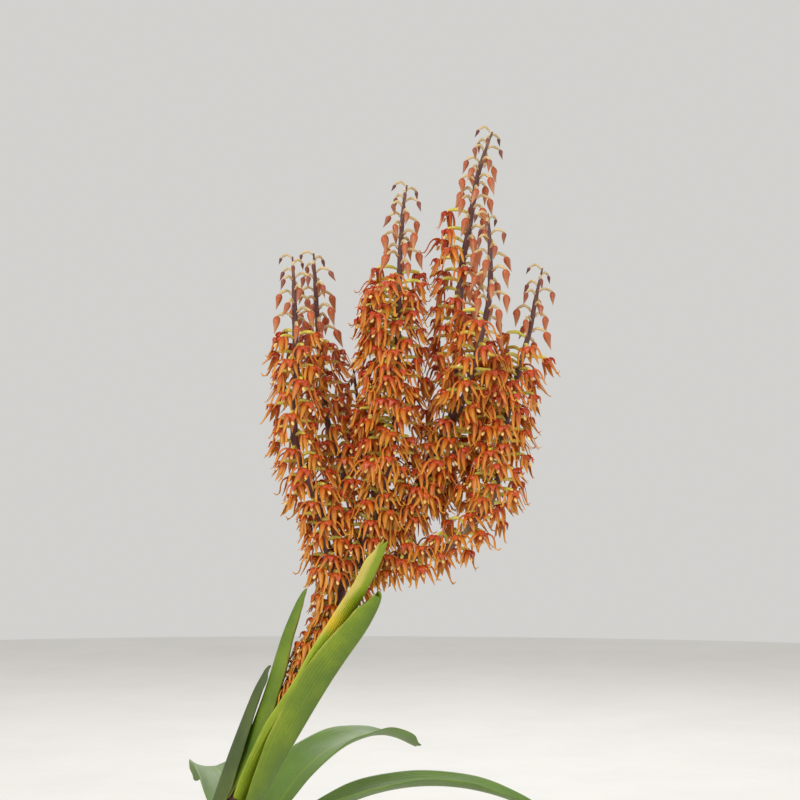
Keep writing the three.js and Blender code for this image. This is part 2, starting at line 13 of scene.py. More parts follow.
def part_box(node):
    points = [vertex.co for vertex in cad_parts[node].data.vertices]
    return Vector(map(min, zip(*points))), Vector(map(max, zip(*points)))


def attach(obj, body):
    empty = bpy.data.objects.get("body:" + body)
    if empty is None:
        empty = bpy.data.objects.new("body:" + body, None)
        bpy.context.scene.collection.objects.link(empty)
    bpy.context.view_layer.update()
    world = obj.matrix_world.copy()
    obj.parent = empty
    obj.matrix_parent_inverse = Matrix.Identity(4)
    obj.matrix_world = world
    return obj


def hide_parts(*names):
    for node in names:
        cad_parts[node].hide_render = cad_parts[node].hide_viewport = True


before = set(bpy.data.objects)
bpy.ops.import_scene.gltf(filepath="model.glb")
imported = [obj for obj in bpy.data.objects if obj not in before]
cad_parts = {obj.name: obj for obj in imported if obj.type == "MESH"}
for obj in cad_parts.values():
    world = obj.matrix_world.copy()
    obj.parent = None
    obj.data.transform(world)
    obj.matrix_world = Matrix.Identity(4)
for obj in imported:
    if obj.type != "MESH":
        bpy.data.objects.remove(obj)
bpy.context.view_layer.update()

bl_info = {
    "name": "Potted Polystachya",
    "version": (1, 0, 0),
    "blender": (4, 5, 0),
    "location": "3D View > Sidebar > Orchid",
    "description": "Builds the flowers, leaves, pseudobulbs, bark and pot of a small orchid",
    "category": "Add Mesh",
}

MM = 0.001
BODY = "root"
UP = Vector((0, 0, 1))
BACK = Vector((0, 1, 0))
GOLDEN = 0.618034
POT_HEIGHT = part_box("pot")[1].z
POT_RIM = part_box("pot")[1].x


def srgb(red, green, blue):
    """A colour given as 0 to 255 steps, in the linear values that Blender's colours hold."""
    steps = [value / 255 for value in (red, green, blue)]
    return tuple(s / 12.92 if s < 0.04045 else ((s + 0.055) / 1.055) ** 2.4 for s in steps)


# Sizes and places

# The pot's wall from the middle of its foot, up outside, over the rim and down inside
POT_PROFILE = [
    (0, 0), (39.5, 0), (41.2, 0.5), (42, 1.8), (47.6, 48), (52.8, 93.6), (53.4, 95), (58.4, 95.6),
    (59.8, 97), (60.1, 98.5), (60.5, 109.6), (60.2, 111.2), (59, 112), (55.6, 112), (54.4, 111),
    (50.5, 97.5), (48.4, 93), (37.2, 8.4), (36, 7), (0, 7),
]
DRAIN = {"radius": 5, "at": 22, "count": 4, "middle": 3, "depth": 16}
POT_NECK = 53
# The bark: the bed's height at the pot's wall, how much higher its middle lies, and the chips on it
BARK = {"level": 102, "crown": 6, "spread": 47, "chips": 330, "seed": 7411}
BED = {"foot": 7.4, "foot_radius": 36.4, "shoulder": 94, "shoulder_radius": 44.5, "top_radius": 46.6}
LOOSE_REACH = 46  # how far from the pot's axis grit and moss lie

# Each pseudobulb: base, apex, how far the middle bows out, half-widths from the base up
BULBS = {
    "pseudobulb_flowering": ((-11, 0, 108.5), (29, 0, 203), 3, (7, 12, 14, 14, 12, 9, 6.6)),
    "pseudobulb_right": ((16, 17, 107.5), (33, 30, 170), 2, (5, 9, 12, 12, 10, 7.5, 5.5)),
    "pseudobulb_left": ((-31, -14, 107.5), (-47, -26, 166), -2, (5, 9, 12, 12, 10, 7.5, 5.5)),
    "pseudobulb_old": ((-34, 17, 106.5), (-40, 25, 158), -2, (5, 9, 11, 11, 9, 6, 3.5)),
}
BULB_FLATNESS = 0.5

RHIZOMES = [
    [(-34, 20, 103), (-37, 2, 104), (-30, -12, 104), (-12, -2, 105), (9, -15, 105)],
    [(-14, 1, 105), (0, 10, 106), (15, 17, 104), (22, 20, 101)],
]
ROOTS = [
    [(-12, 0, 106), (-6, -16, 110), (-14, -30, 108), (-18, -40, 98)],
    [(15, 17, 105), (26, 6, 109), (38, 8, 106), (43, 4, 97)],
    [(15, 17, 105), (6, 28, 109), (-6, 34, 107), (-12, 42, 97)],
    [(9, -15, 106), (16, -26, 109), (28, -32, 106), (31, -35, 97)],
]

# Each leaf: keel from the base, the side that the fold opens to, half-widths, half angles of the fold,
# lobes, and where they aren't 0, how much further the rear flank splays at the tip and how far from the
# keel the tip's notch lies
LEAVES = {
    "leaf_inner_right": (
        [(33.6, 0, 204.3), (46.9, -1, 225.5), (60.2, -2.5, 245.9), (67.2, -5, 258.8),
         (74.6, -8, 274.7), (80.2, -10.5, 285.1), (84.8, -12.5, 295), (86.2, -13.5, 299)],
        (-1, 0, 0.45), (6, 11.5, 14.5, 13.5, 12, 9.4, 7.4, 7.4), (40, 44, 45, 42, 34, 30, 30, 30),
        (3, 3), 18, 0.42,
    ),
    "leaf_outer_right": (
        [(35.6, 0, 196), (49.9, -1, 221.7), (63.2, -3, 244.4), (70.9, -6.5, 256.6),
         (78.7, -9.5, 268), (83, -11.5, 276), (84.4, -12.2, 279.6)],
        (-1, 0, 0.5), (6, 11, 14.2, 15, 13.8, 11.2, 7.8), (44, 43, 40, 34, 27, 22, 22), (3, 2), 24,
    ),
    "leaf_inner_left": (
        [(24.6, 0, 208), (33.2, 0, 225.5), (41, -0.8, 245.5), (45.3, -1.6, 259.2),
         (48.4, -2.1, 268.4), (52.6, -2.4, 278), (55.2, -2.6, 282.5)],
        (1, 0, -0.4), (5.5, 7.4, 8.6, 7.4, 6.9, 5, 2.8), (44, 40, 35, 33, 33, 33, 34), (2, 1.6),
    ),
    "leaf_outer_left": (
        [(19.2, 0, 197.5), (27.6, 0, 222), (36, 0, 243.5), (39.8, 0, 251), (41.6, 0, 254)],
        (1, 0, -0.4), (6, 8, 7.5, 5, 3.5), (46, 46, 44, 42, 42), (2, 1.4),
    ),
}
# The older growths' arching leaves: seat, compass bearing, first and last slope, length
ARCHES = {
    "leaf_right_1": ((36, 30.5, 167.5), 2, (58, -34), 128),
    "leaf_right_2": ((33.5, 33, 170.5), 52, (66, -26), 122),
    "leaf_right_3": ((30.8, 34.5, 167.5), 105, (60, -30), 106),
    "leaf_left_1": ((-48.5, -28.5, 163.5), 262, (60, -36), 112),
    "leaf_left_2": ((-49.5, -26.5, 166.5), 214, (64, -28), 126),
    "leaf_left_3": ((-50, -24, 163.5), 168, (56, -36), 132),
}
ARCH_HALF_WIDTHS = (5, 9, 11.5, 12.5, 12.5, 12, 10.5, 8, 5)
ARCH_FOLDS = (42, 50, 58, 64, 68, 70, 70, 70, 70)

# The young shoot's blades: keel, the side that the fold opens to, half-widths
SHOOT_BLADES = [
    ([(9, -15, 105), (12, -18, 122), (17, -22, 140), (24, -27, 154)], (-1, 0.5, 0.4), (6, 6.5, 5, 2.5)),
    ([(9, -15, 105), (9, -16.5, 124), (9, -18, 146), (7, -19, 164)], (1, -0.3, 0), (6, 6.5, 5.5, 2.5)),
    ([(9, -15, 105), (6, -13.5, 118), (2, -12, 130), (-4, -10, 140)], (1, -0.5, 0.4), (6, 6, 4.5, 2)),
]
SHOOT_FOLDS = (38, 34, 32, 34)
SHOOT_FOOT = [(9, -15, 103), (9, -15, 112), (9, -15.5, 124)]
SHOOT_FOOT_WIDTH = 6

ALL_OPEN = (-400, -400)  # no buds anywhere
# Each raceme: its spray, seed, axis from base to tip, its radii, the stretch that bears flowers, their
# pitch, how far the stalks reach, how far below the tip they open on its left and right, and the sector
# that they keep to. One that follows another stands on that one's axis
RACEMES = {
    "stem": dict(
        spray="middle", seed=101, radii=(2.2, 1.9, 1.7, 1.45, 1.15, 0.75), first=84, pitch=2.15, reach=1.5,
        opens=(31, 35),
        axis=[(28.6, 0, 203.6), (48, 0, 244), (57, 0, 259), (65.8, 0, 272.9), (72.8, 1, 290.6),
              (81, 0, 308.8), (88.7, -2, 338.4), (90.3, -3, 360.6), (90.6, -4, 379.1), (91.3, -4, 405),
              (92.6, -4, 425), (93.9, -4, 432.3)],
    ),
    "stem_low": dict(
        spray="middle", seed=202, follows="stem", first=24, last=84, pitch=2.2, sector=(225, 80),
        reach=0.8, opens=ALL_OPEN,
    ),
    "behind": dict(
        spray="middle", seed=303, radii=(1.1, 0.9, 0.5), first=12, pitch=2.9, reach=1, opens=(11, 14),
        axis=[(82.5, 0, 317), (79.5, 10, 328), (76.9, 16, 342.1), (75, 18, 355), (73.5, 18, 366.1)],
    ),
    "outer_left": dict(
        spray="left", seed=404, radii=(1.7, 1.55, 1.4, 1.2, 0.7), first=6, pitch=2.5, reach=1.25,
        opens=(28, 31),
        axis=[(69.2, -0.6, 283.6), (66, -2.6, 292), (63.6, -4.4, 303), (61, -6, 315), (55, -7, 329.1),
              (52.4, -7, 342.1), (53.2, -6, 360.6), (52.8, -5, 378), (52.2, -4, 396), (51.7, -4, 406)],
    ),
    "inner_left": dict(
        spray="left", seed=505, radii=(1.35, 1.25, 1.1, 0.7), first=8, pitch=2.5, reach=1.25, opens=(30, 33),
        axis=[(63.6, -4.4, 303), (67.5, 2, 314), (70.6, 5, 325.4), (66.9, 8, 336.5), (63.9, 9, 346),
              (62.4, 9, 360.6), (60.4, 8, 384), (59.1, 6, 407.9)],
    ),
    "tall": dict(
        spray="tall", seed=606, radii=(1.8, 1.65, 1.5, 1.2, 0.75), first=4, pitch=2.15, reach=1.6,
        opens=(31, 72),
        axis=[(76.6, 1.2, 298.2), (80.6, 3.4, 301.8), (85.7, 5, 306.9), (93.5, 6, 314.3),
              (99.2, 6, 323.6), (104, 6, 333.9), (108.6, 6, 341), (111.3, 6, 350), (112, 6, 360.6),
              (112.6, 6, 376), (114.4, 5, 403), (116.5, 4, 414.2), (120.2, 3, 436.4),
              (124.2, 2, 449), (125.6, 2, 452.6)],
    ),
    "inner_right": dict(
        spray="tall", seed=707, radii=(1.3, 1.2, 1.05, 0.7), first=12, pitch=2.6, reach=1.6, opens=(36, 50),
        axis=[(111.6, 6, 346), (114, -2, 352), (116.5, -7, 359.5), (120.2, -10, 373.5), (124, -10, 391),
              (124.2, -9, 408.7), (123.6, -8, 421.6)],
    ),
    "tall_side": dict(
        spray="tall", seed=909, follows="tall", first=26, last=72, pitch=2.6, sector=(0, 70),
        reach=2.3, opens=ALL_OPEN,
    ),
    "right": dict(
        spray="right", seed=808, radii=(1.5, 1.4, 1.3, 1.15, 0.7), first=6, pitch=2.9, reach=1.55,
        opens=(27, 30),
        axis=[(73.8, 1.3, 291.4), (80, 3, 293.2), (87.6, 3, 294.4), (98, 2, 295.6), (107.9, 0, 298.4),
              (114, -1, 302.6), (120.6, -2, 310), (125, -2, 316), (127.8, -2, 326), (129.2, -1, 337),
              (131.8, 0, 351), (136.6, 1, 369), (139.6, 1, 380), (141.6, 0, 391), (144, 0, 402)],
    ),
    "right_side": dict(
        spray="right", seed=1010, follows="right", first=56, last=112, pitch=2.6, sector=(180, 70),
        reach=2.1, opens=ALL_OPEN,
    ),
    "stem_side": dict(
        spray="middle", seed=1111, follows="stem", first=138, last=207, pitch=2.6, sector=(182, 60),
        reach=2.25, opens=ALL_OPEN,
    ),
}
SPRAYS = ("middle", "left", "tall", "right")
TURNS = (0, 30, -30, 60, -60, 90, -90, 120, -120)
ATTEMPTS = [(share, turn) for share in (1, 0.85, 0.7) for turn in TURNS]  # smaller ones near a leaf alone
YOUNG_LENGTH = 20  # stretch below a tip over which the buds grow to full size
SMALLEST = 0.42  # share of the full size at the tip
CROWDING = (0.62, 0.68)  # shares of the pitch between open flowers and between buds
STALK = {"reach": 2.9, "arch": 1.2, "bud_reach": 3.4, "bud_arch": 1.9}
HANG = 5.8  # a flower's length below its crown
MODELLED_HANG = 7.4  # the same for the templates, at their own size
FLOWER_DROOP = -0.18  # lean of every flower, radians
JITTER = {"place": 0.4, "turn": 9, "size": 0.1, "opens": 3, "reach": 0.12}  # of each station
SWAY, TWIST = 0.3, 0.5  # of each flower, radians
STILLED = 0.15  # share of the sway that is left near a leaf
TEMPLATE_DRAWS = 60  # a multiple of every number of templates
TONE = {"least": 0.18, "own": 0.75, "ripe": 0.42}  # what a flower's tone is made of
AXIS_ROOM = {True: 3.2, False: 5.2}  # a heart's distance from another axis, by whether it is the same spray
NEAR_LEAF = 9  # nearer than this to a leaf, a flower keeps its petals close
LEAF_ROOM = 2.6  # least distance from a heart to a leaf
FLOWER_TIPS = [
    (1.6, -5.4, -6.2), (1.6, 5.4, -6.2), (2.2, -3.4, -7.4), (2.2, 3.4, -7.4), (-1.5, 0, -7), (3.2, 0, -3.2),
]
RIPENING = (255, 400)  # heights between which the flowers turn from gold to orange red
FADING = (262, 300)  # heights between which the lowest flowers lose the last of their red


# Draws, curves and meshes


class Draws:
    """A repeatable row of random draws."""

    def __init__(self, seed):
        self.state = seed

    def next(self):
        """The next draw, between 0 and 1."""
        self.state = (self.state * 16807) % 2147483647
        return self.state / 2147483647

    def within(self, amount):
        """The next draw, between -amount and amount."""
        return amount * (2 * self.next() - 1)

    def turned(self, *amounts):
        """A turn about X, Y and Z, each up to its amount either way."""
        return Euler([self.within(amount) for amount in amounts])


class Path:
    """A smooth curve through points, read by the share of its length that lies behind."""

    STEPS = 200

    def __init__(self, points):
        self.points = [Vector(p) for p in points]
        self.lengths = [0.0]
        before = self.points[0]
        for k in range(self.STEPS):
            here = self.read((k + 1) / self.STEPS)
            self.lengths.append(self.lengths[-1] + (here - before).length)
            before = here
        self.length = self.lengths[-1]

    def read(self, t):
        """The point at parameter t."""
        spans = len(self.points) - 1
        k = min(int(t * spans), spans - 1)
        w = t * spans - k
        b, c = self.points[k], self.points[k + 1]
        a = self.points[k - 1] if k else 2 * b - c
        d = self.points[k + 2] if k + 2 <= spans else 2 * c - b
        start, end = 0.5 * (c - a), 0.5 * (d - b)
        cubic = (2 * b - 2 * c + start + end) * w ** 3
        return cubic + (3 * c - 3 * b - 2 * start - end) * w ** 2 + start * w + b

    def parameter(self, share):
        """The parameter of the point that so much of the length lies behind."""
        wanted = share * self.length
        k = next((i for i, reached in enumerate(self.lengths[1:]) if reached >= wanted), self.STEPS - 1)
        step = self.lengths[k + 1] - self.lengths[k]
        return (k + min((wanted - self.lengths[k]) / step, 1)) / self.STEPS

    def at(self, share):
        return self.read(self.parameter(share))

    def heading(self, share):
        t = self.parameter(share)
        return (self.read(min(t + 1e-4, 1)) - self.read(max(t - 1e-4, 0))).normalized()


def spread(values, share):
    """A value read from an evenly spaced row."""
    place = min(max(share, 0), 0.999999) * (len(values) - 1)
    k = int(place)
    return values[k] + (values[k + 1] - values[k]) * (place - k)


def ease(low, high, value):
    """0 below low, 1 above high, and a smooth rise between."""
    share = min(max((value - low) / (high - low), 0), 1)
    return share * share * (3 - 2 * share)


def polar(bearing, reach=1.0):
    """A level vector, by its bearing in radians and its length."""
    return Vector((math.cos(bearing), math.sin(bearing), 0)) * reach


def deselect():
    bpy.ops.object.select_all(action="DESELECT")


def named(name):
    """The object just added, with its name."""
    piece = bpy.context.object
    piece.name = name
    piece.data.name = name
    return piece


def pick(pieces):
    """Selects these objects alone, the first of them active."""
    deselect()
    for piece in pieces:
        piece.select_set(True)
    bpy.context.view_layer.objects.active = pieces[0]


def drape(piece, place):
    """Moves each vertex to where place puts its coordinates."""
    for vertex in piece.data.vertices:
        vertex.co = place(vertex.co.copy())
    piece.data.update()


def modify(piece, kind, **settings):
    """Adds a modifier to the piece and applies it."""
    pick([piece])
    bpy.ops.object.modifier_add(type=kind)
    modifier = piece.modifiers[-1]
    for key, value in settings.items():
        setattr(modifier, key, value)
    bpy.ops.object.modifier_apply(modifier=modifier.name)


def edit(piece, *steps):
    """Runs each step on the whole mesh in edit mode."""
    pick([piece])
    bpy.ops.object.mode_set(mode="EDIT")
    for step in steps:
        bpy.ops.mesh.select_all(action="SELECT")
        step()
    bpy.ops.object.mode_set(mode="OBJECT")


def smooth(piece, crease=None):
    """Smooth shading, up to a crease in degrees where one is given."""
    pick([piece])
    if crease:
        bpy.ops.object.shade_smooth_by_angle(angle=math.radians(crease))
    else:
        bpy.ops.object.shade_smooth()


def join(pieces, name):
    """One mesh from many."""
    pick(pieces)
    if len(pieces) > 1:
        bpy.ops.object.join()
    return named(name)


def tube(name, lines, sides=8):
    """Round stems as one mesh. A line is a row of (point in millimetres, radius in millimetres)."""
    deselect()
    bpy.ops.curve.primitive_bezier_curve_add()
    piece = named(name)
    curve = piece.data
    curve.splines.clear()
    curve.dimensions = "3D"
    curve.bevel_depth = MM
    curve.bevel_resolution = (sides - 4) // 2
    curve.use_fill_caps = True
    for line in lines:
        spline = curve.splines.new("POLY")
        spline.points.add(len(line) - 1)
        for knot, (place, radius) in zip(spline.points, line):
            knot.co = (*(place * MM), 1)
            knot.radius = radius
    pick([piece])
    bpy.ops.object.convert(target="MESH")
    smooth(named(name))
    return piece


def stem_line(path, steps, girth):
    """A line for tube along a path, with the radius that girth gives for each share of it and number."""
    return [(path.at(k / steps), girth(k / steps, k)) for k in range(steps + 1)]


def grid(name, across, along):
    """A flat grid from -1 to 1 both ways, to be laid along a spine."""
    deselect()
    bpy.ops.mesh.primitive_grid_add(x_subdivisions=across, y_subdivisions=along, size=2)
    return named(name)


def ball(name, segments, rings, place):
    """A round body: a unit sphere, each point of which goes where place puts it."""
    deselect()
    bpy.ops.mesh.primitive_uv_sphere_add(segments=segments, ring_count=rings, radius=1)
    piece = named(name)
    drape(piece, place)
    smooth(piece)
    return piece


def blade(name, spine, half_widths, facing, cup, cells=(3, 5), thickness=0.12):
    """A sepal or petal in millimetres: a grid laid along its spine and cupped across it."""
    piece = grid(name, *cells)
    path = Path(spine)
    front = Vector(facing)

    def place(co):
        share = (co.y + 1) / 2
        heading = path.heading(share)
        side = heading.cross(front).normalized()
        rise = side.cross(heading)
        width = spread(half_widths, share)
        return path.at(share) + side * (co.x * width) - rise * (cup * width * co.x ** 2)

    drape(piece, place)
    modify(piece, "SOLIDIFY", thickness=thickness, offset=0)
    smooth(piece)
    return piece


def set_tone(piece, value):
    """Gives the whole mesh one tone, which its material reads."""
    tone = piece.data.attributes.new("tone", "FLOAT", "POINT")
    tone.data.foreach_set("value", [value] * len(piece.data.vertices))


def scatter(name, template_choices, matrices_and_tones):
    """One mesh with a copy of a template at each place. A place is (template number, matrix, tone)."""
    copies = []
    for number, matrix, tone in matrices_and_tones:
        template = template_choices[number % len(template_choices)]
        copy = template.copy()
        copy.data = template.data.copy()
        copy.data.transform(matrix)
        set_tone(copy, tone)
        bpy.context.scene.collection.objects.link(copy)
        copies.append(copy)
    return join(copies, name)


def discard(pieces):
    """Removes templates once they are copied."""
    pick(pieces)
    bpy.ops.object.delete()


def strew(name, templates, places):
    """A scatter whose templates are needed no more."""
    piece = scatter(name, templates, places)
    discard(templates)
    return piece


def finish_piece(piece, materials, slot, *nodes):
    """Gives the piece its finish and its place in the frame."""
    if not piece.data.polygons:
        raise RuntimeError(piece.name + " could not be made")
    for material in materials:
        piece.data.materials.append(material)
    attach(piece, BODY)
    if nodes:
        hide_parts(*nodes)


# Shader building


class Tree:
    """A node tree with short calls to add to it. A value is a socket, a number or a plain colour."""

    def __init__(self, tree):
        self.nodes, self.links = tree.nodes, tree.links

    def feed(self, socket, value):
        """Links a socket to another one, or sets its value."""
        if isinstance(value, bpy.types.NodeSocket):
            self.links.new(value, socket)
        else:
            socket.default_value = (*value, 1) if socket.type == "RGBA" else value

    def add(self, kind, sockets=None, **settings):
        """A node with its properties and, by the names of its sockets, its values or links."""
        node = self.nodes.new("ShaderNode" + kind)
        for key, value in settings.items():
            setattr(node, key, value)
        for key, value in (sockets or {}).items():
            self.feed(node.inputs[key], value)
        return node

    def math(self, operation, *values):
        return self.add("Math", dict(enumerate(values)), operation=operation).outputs[0]

    def mix(self, share, first, second, blend="MIX"):
        """Two colours mixed by a share."""
        sockets = {0: share, 6: first, 7: second}
        return self.add("Mix", sockets, data_type="RGBA", blend_type=blend).outputs[2]

    def over(self, base, colour, *shares):
        """A colour laid over the base, as strong as the product of its shares."""
        share, *others = shares
        for other in others:
            share = self.math("MULTIPLY", share, other)
        return self.mix(share, base, colour)

    def rescale(self, value, low, high, to_low=0.0, to_high=1.0):
        """A value brought from one range to another, held at its ends."""
        sockets = {"Value": value, "From Min": low, "From Max": high, "To Min": to_low, "To Max": to_high}
        return self.add("MapRange", sockets).outputs["Result"]


class Finish(Tree):
    """A material: its node tree, and the calls that a surface needs."""

    def __init__(self, name, roughness, softness=0.0, depths=(0.0, 0.0, 0.0)):
        self.material = bpy.data.materials.new(name)
        self.material.use_nodes = True
        super().__init__(self.material.node_tree)
        self.surface = self.nodes["Principled BSDF"].inputs
        self.feed(self.surface["Roughness"], roughness)
        if softness:
            self.feed(self.surface["Subsurface Weight"], softness)
            self.feed(self.surface["Subsurface Radius"], depths)

    def place(self):
        """Object coordinates."""
        return self.add("TexCoord").outputs["Object"]

    def height(self):
        """How high a place is, in metres."""
        return self.add("SeparateXYZ", {"Vector": self.place()}).outputs["Z"]

    def across_and_along(self):
        """The sockets of the piece's own UV map: across, then along."""
        uv = self.add("UVMap", uv_map="UVMap").outputs["UV"]
        split = self.add("SeparateXYZ", {"Vector": uv})
        return split.outputs["X"], split.outputs["Y"]

    def tone(self):
        return self.add("Attribute", attribute_name="tone").outputs["Fac"]

    def patches(self, scale, strength, place=None):
        """Soft patches of one scale: their mask, and a shade for multiplying."""
        sockets = {"Vector": place or self.place(), "Scale": scale, "Strength": strength}
        node = self.add("Group", sockets, node_tree=mottling())
        return node.outputs["Mask"], node.outputs["Shade"]

    def veined(self, across, along, count, unevenness=1.5):
        """The height of so many parallel veins, from 0 to 1."""
        sockets = {"Across": across, "Along": along, "Count": count, "Unevenness": unevenness}
        return self.add("Group", sockets, node_tree=veins()).outputs["Height"]

    def ramp(self, value, stops):
        """A colour ramp through (place, colour) stops."""
        node = self.add("ValToRGB", {"Fac": value})
        elements = node.color_ramp.elements
        while len(elements) < len(stops):
            elements.new(0.5)
        for element, (place, colour) in zip(elements, stops):
            element.position = place
            element.color = (*colour, 1)
        return node.outputs["Color"]

    def done(self, colour, shade, height, strength, depth):
        """Shades the colour, bumps the surface by a depth in millimetres, and gives the material."""
        self.feed(self.surface["Base Color"], self.mix(1.0, colour, shade, "MULTIPLY"))
        bump = self.add("Bump", {"Height": height, "Strength": strength, "Distance": depth * MM})
        self.feed(self.surface["Normal"], bump.outputs["Normal"])
        return self.material


def shared_group(name, inputs, outputs, build):
    """The node group of this name, built on first use. Sockets are given as their kinds, by name."""
    known = bpy.data.node_groups.get(name)
    if known:
        return known
    tree = bpy.data.node_groups.new(name, "ShaderNodeTree")
    for direction, sockets in (("INPUT", inputs), ("OUTPUT", outputs)):
        for label, kind in sockets.items():
            tree.interface.new_socket(name=label, in_out=direction, socket_type="NodeSocket" + kind)
    results = build(Tree(tree), tree.nodes.new("NodeGroupInput").outputs)
    end = tree.nodes.new("NodeGroupOutput")
    for label, result in results.items():
        tree.links.new(result, end.inputs[label])
    return tree


def mottling():
    """Soft patches: a mask, and a shade round 1 for multiplying."""

    def build(tree, given):
        sockets = {"Vector": given["Vector"], "Scale": given["Scale"], "Detail": 4, "Roughness": 0.62}
        mask = tree.add("TexNoise", sockets).outputs["Fac"]
        shade = tree.math("MULTIPLY_ADD", tree.math("SUBTRACT", mask, 0.5), given["Strength"], 1)
        grey = tree.add("CombineColor", dict.fromkeys(("Red", "Green", "Blue"), shade))
        return {"Mask": mask, "Shade": grey.outputs["Color"]}

    inputs = {"Vector": "Vector", "Scale": "Float", "Strength": "Float"}
    return shared_group("Soft mottling", inputs, {"Mask": "Float", "Shade": "Color"}, build)


def veins():
    """Fine parallel veins along a blade, a little uneven: their height from 0 to 1."""

    def build(tree, given):
        across = tree.math("MULTIPLY", given["Across"], 14)
        along = tree.math("MULTIPLY", given["Along"], 2.5)
        place = tree.add("CombineXYZ", {"X": across, "Y": along}).outputs["Vector"]
        waver = tree.add("TexNoise", {"Vector": place, "Scale": 1, "Detail": 3}).outputs["Fac"]
        turns = tree.math("MULTIPLY", given["Across"], given["Count"])
        uneven = tree.math("MULTIPLY_ADD", waver, given["Unevenness"], turns)
        return {"Height": tree.math("MULTIPLY", tree.math("PINGPONG", uneven, 0.5), 2)}

    inputs = dict.fromkeys(("Across", "Along", "Count", "Unevenness"), "Float")
    return shared_group("Parallel veins", inputs, {"Height": "Float"}, build)


def shaded(colour, share):
    """A colour darkened or lightened by a share."""
    return tuple(min(share * c, 1) for c in colour)


def tint(name, share=1.0):
    """A colour of the panel, darkened or lightened by a share."""
    return shaded(getattr(bpy.context.scene.orchid_colours, name), share)


def leaf_finish(name, middle, deep, margin, band, tip_band=None, patch=None):
    """A leaf's face: parallel veins, a pale keel line, a pale margin, soft patches and one yellowed spot."""
    finish = Finish(name, 0.42, 0.08, (0.001, 0.002, 0.0005))
    across, along = finish.across_and_along()
    mask, shade = finish.patches(60, 0.35)
    veined = finish.veined(across, along, 22)
    off_keel = finish.math("ABSOLUTE", finish.math("MULTIPLY_ADD", across, 2.0, -1.0))
    blend = finish.math("ADD", mask, finish.math("MULTIPLY", off_keel, 0.35))
    green = finish.mix(finish.rescale(blend, 0.4, 0.95), deep, middle)
    green = finish.over(green, shaded(deep, 0.62), veined, 0.18)
    green = finish.over(green, margin, finish.rescale(off_keel, 0.0, 0.07, 0.55, 0.0))
    start = finish.rescale(along, 0.62, 0.86, 1 - band, 1 - (tip_band or band))
    wavering = finish.math("MULTIPLY_ADD", mask, 0.3, -0.15)
    past = finish.math("SUBTRACT", finish.math("ADD", off_keel, wavering), start)
    green = finish.over(green, margin, finish.rescale(past, 0.0, 0.22, 0.0, 0.85))
    if patch:
        from_spot = finish.math("ABSOLUTE", finish.math("SUBTRACT", along, 0.71))
        near = finish.rescale(finish.math("ADD", from_spot, wavering), 0.01, 0.1, 0.95, 0.0)
        green = finish.over(green, patch, near, finish.rescale(off_keel, 0.2, 0.6))
    finish.feed(finish.surface["Roughness"], finish.rescale(mask, 0.3, 0.7, 0.42, 0.58))
    return finish.done(green, shade, veined, 0.35, 0.25)


def flower_finish(name, stops, streaks=0.5, roughness=0.42, ripe=None):
    """A sepal, petal or lip: a ramp from base to tip, fine streaks, and each flower's own tone."""
    finish = Finish(name, roughness, 0.12, (0.002, 0.001, 0.0004))
    across, along = finish.across_and_along()
    veined = finish.veined(across, along, 4)
    mask, shade = finish.patches(500, 0.5)
    shift = finish.math("MULTIPLY_ADD", finish.tone(), 0.42, -0.2)
    shift = finish.math("ADD", shift, finish.math("MULTIPLY_ADD", mask, 0.2, -0.1))
    colour = finish.ramp(finish.math("ADD", along, shift), stops)
    if ripe:
        colour = finish.over(colour, ripe, finish.rescale(finish.tone(), 0.5, 1.4, 0.0, 0.84))
    colour = finish.over(colour, shaded(stops[0][1], 0.55), veined, streaks)
    return finish.done(colour, shade, veined, 0.3, 0.08)


def plain_finish(
    name, first, second, scale, roughness, bump, depth,
    strength=0.3, grain=None, blend=(0.35, 0.65), toned=0.0
):
    """Two mottled colours with a fine bump.

    grain is the scale of the fine patches, which is 6 times the broad ones' unless it is given. blend says
    how the broad patches become the share of the second colour, and toned how much the piece's own tone
    adds to them.
    """
    finish = Finish(name, roughness)
    broad = finish.patches(scale, strength)[0]
    if toned:
        broad = finish.math("ADD", finish.math("MULTIPLY", finish.tone(), toned), broad)
    fine, shade = finish.patches(grain or 6 * scale, strength)
    return finish.done(finish.mix(finish.rescale(broad, *blend), first, second), shade, fine, bump, depth)


# Properties


def colour_property(label, description, *steps):
    return bpy.props.FloatVectorProperty(
        name=label, description=description, default=srgb(*steps), size=3, min=0, max=1, subtype="COLOR"
    )


def length_property(label, description, default):
    return bpy.props.FloatProperty(
        name=label, description=description, default=default, min=0, unit="LENGTH", subtype="DISTANCE"
    )


